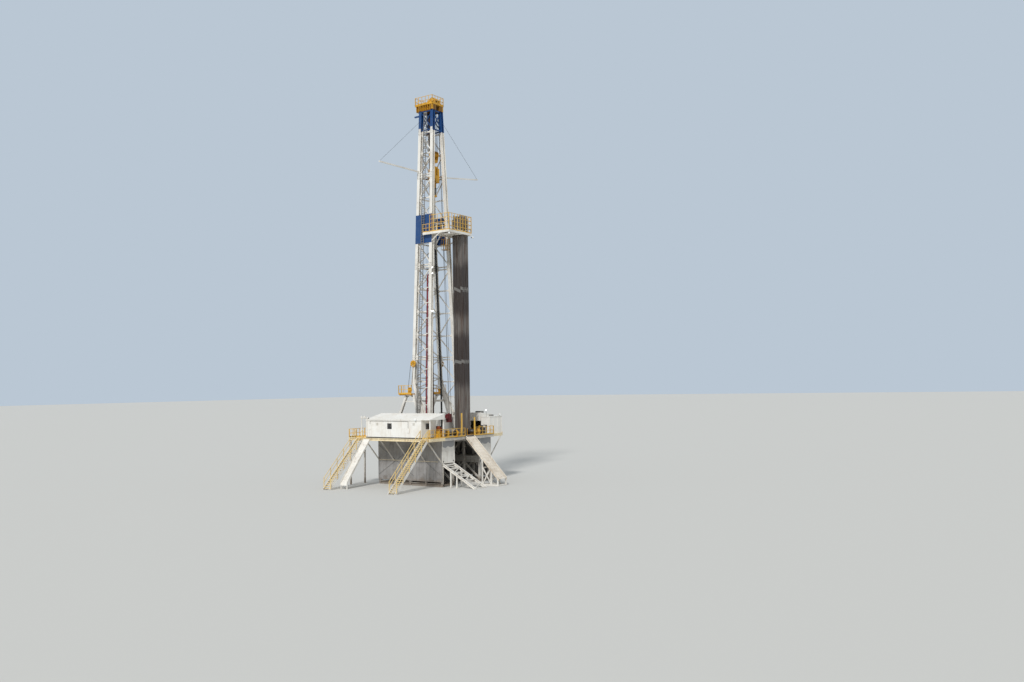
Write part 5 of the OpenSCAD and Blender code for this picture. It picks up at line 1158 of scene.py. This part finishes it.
# Stair flights: brackets under the treads
stairs = {"x": (2.3, -3.11), "y": -4.0, "run": 3.05, "height": 3.05, "treads": 15, "half": 0.22,
          "bracket": (0.03, 0.08, 0.03)}
shares = [(2 * k + 1) / (2 * stairs["treads"]) for k in range(stairs["treads"])]
growCopies("treadBrackets", "block", [
    ((x + side * stairs["half"], stairs["y"] - stairs["run"] * share, stairs["height"] * (1 - share) - 0.03), upright,
     stairs["bracket"]) for share in shares for x in stairs["x"] for side in bothSides], "greySteel", at=rig)

# Raising frames: pins through their feet and heads, and ribs of their platforms
frames = {"y": 1.525, "pins": ((-2.49, 0.1), (0.16, 0.1), (-1.22, 2.58), (-0.74, 2.58)), "out": 0.085,
          "pin": (0.09, 0.09, 0.03), "ribs": (-1.7, -1.3, -0.75), "halfRib": (0.008, 0.25), "ribH": (2.64, 2.7)}
spots = [((x, side * frames["y"] + end * frames["out"], h), alongY, frames["pin"])
         for side in bothSides for x, h in frames["pins"] for end in bothSides]
growCopies("framePins", "rod", spots, "darkSteel", sides=14)
(thin, wide), (h0, h1) = frames["halfRib"], frames["ribH"]
makeSolids("platformRibs", "yellowPaint", [
    ((x - thin, side * frames["y"] - wide, h0), (x + thin, side * frames["y"] + wide, h1))
    for side in bothSides for x in frames["ribs"]])
print("substructure and ramp details made")

# Top drive and block: fins, bolts, shafts, hoses and plates, all on the hoist
drive = {"h": 15.8, "fins": 12, "finPitch": 0.035, "fin": (0.3, 0.014, 0.012), "finY": 0.262, "coverBolts": 7,
         "coverBolt": (0.03, 0.03, 0.018), "coverY": 0.232, "rows": (0.97, 1.33), "ringBolts": 12, "ring": 0.135,
         "ringBolt": (0.03, 0.03, 0.05), "hose": 0.014}
block = {"h": 18.1, "plateY": 0.245, "boltY": 0.243, "bolts": 8, "ring": 0.1, "bolt": (0.026, 0.026, 0.02)}


def onDrive(x, y, h):
    return above(x, y, drive["h"] + h)


def onBlock(x, y, h):
    return above(x, y, block["h"] + h)


growCopies("motorFins", "block", [((0.04, side * drive["finY"], 1.42 + drive["finPitch"] * k), upright, drive["fin"])
                                  for k in range(drive["fins"]) for side in bothSides],
           "darkSteel", at=onDrive, body="hoist")
spots = [((-0.14 + 0.06 * k, side * drive["coverY"], h), alongY, drive["coverBolt"])
         for side in bothSides for k in range(drive["coverBolts"]) for h in drive["rows"]]
spots += [((drive["ring"] * c, drive["ring"] * s, 0.54), upright, drive["ringBolt"])
          for c, s in around(drive["ringBolts"])]
growCopies("driveBolts", "rod", spots, "darkSteel", at=onDrive, body="hoist", spin=1.0, seed=2)
makeSolids("driveShafts", "greySteel", at=onDrive, body="hoist", rods=[
    ((0, 0, 0.24), (0, 0, 0.56), 0.14, 24), ((0, 0, 0.1), (0, 0, 0.3), 0.075, 20),
    *[((0.1, side * 0.26, 1.6), (0.1, side * 0.275, 1.6), 0.09, 20) for side in bothSides]])
growTubes("driveHoses", [[(0.2, side * 0.2, 1.3), (0.275, side * 0.2, 1.1), (0.275, side * 0.16, 0.7),
                          (0.13, side * 0.1, 0.5)] for side in bothSides],
          drive["hose"], "blackHose", at=onDrive, body="hoist", sides=8, bend=0.08)
makeSolids("blockPlates", "darkSteel", [((-0.09, side * block["plateY"] - 0.008, 0.02),
                                         (0.09, side * block["plateY"] + 0.008, 0.14)) for side in bothSides],
           at=onBlock, body="hoist")
growCopies("blockBolts", "rod", [((block["ring"] * c, side * block["boltY"], 0.55 + block["ring"] * s), alongY,
                                  block["bolt"]) for side in bothSides for c, s in around(block["bolts"])],
           "greySteel", at=onBlock, body="hoist", spin=1.0, seed=8)

# Drilling lines: straight parts from below the crown's sheaves down to the hoist, put in place of the carried-over
# lines
reeving = {"partsPerSide": 4, "radius": 0.009}
low, high = (Vector(corner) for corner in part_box("drilling_lines"))
inset = Vector((reeving["radius"], reeving["radius"], 0))
low, high = low + inset, high - inset
rows = [low.y + (high.y - low.y) * k / (reeving["partsPerSide"] - 1) for k in range(reeving["partsPerSide"])]
reevedLines = growTubes("reevedLines", [[(x, y, high.z), (x, y, low.z)] for x in (low.x, high.x) for y in rows],
                        reeving["radius"], "lineSteel", at=world, body=None, sides=10)
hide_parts("drilling_lines")
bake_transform(reevedLines)
print("hoist details made")
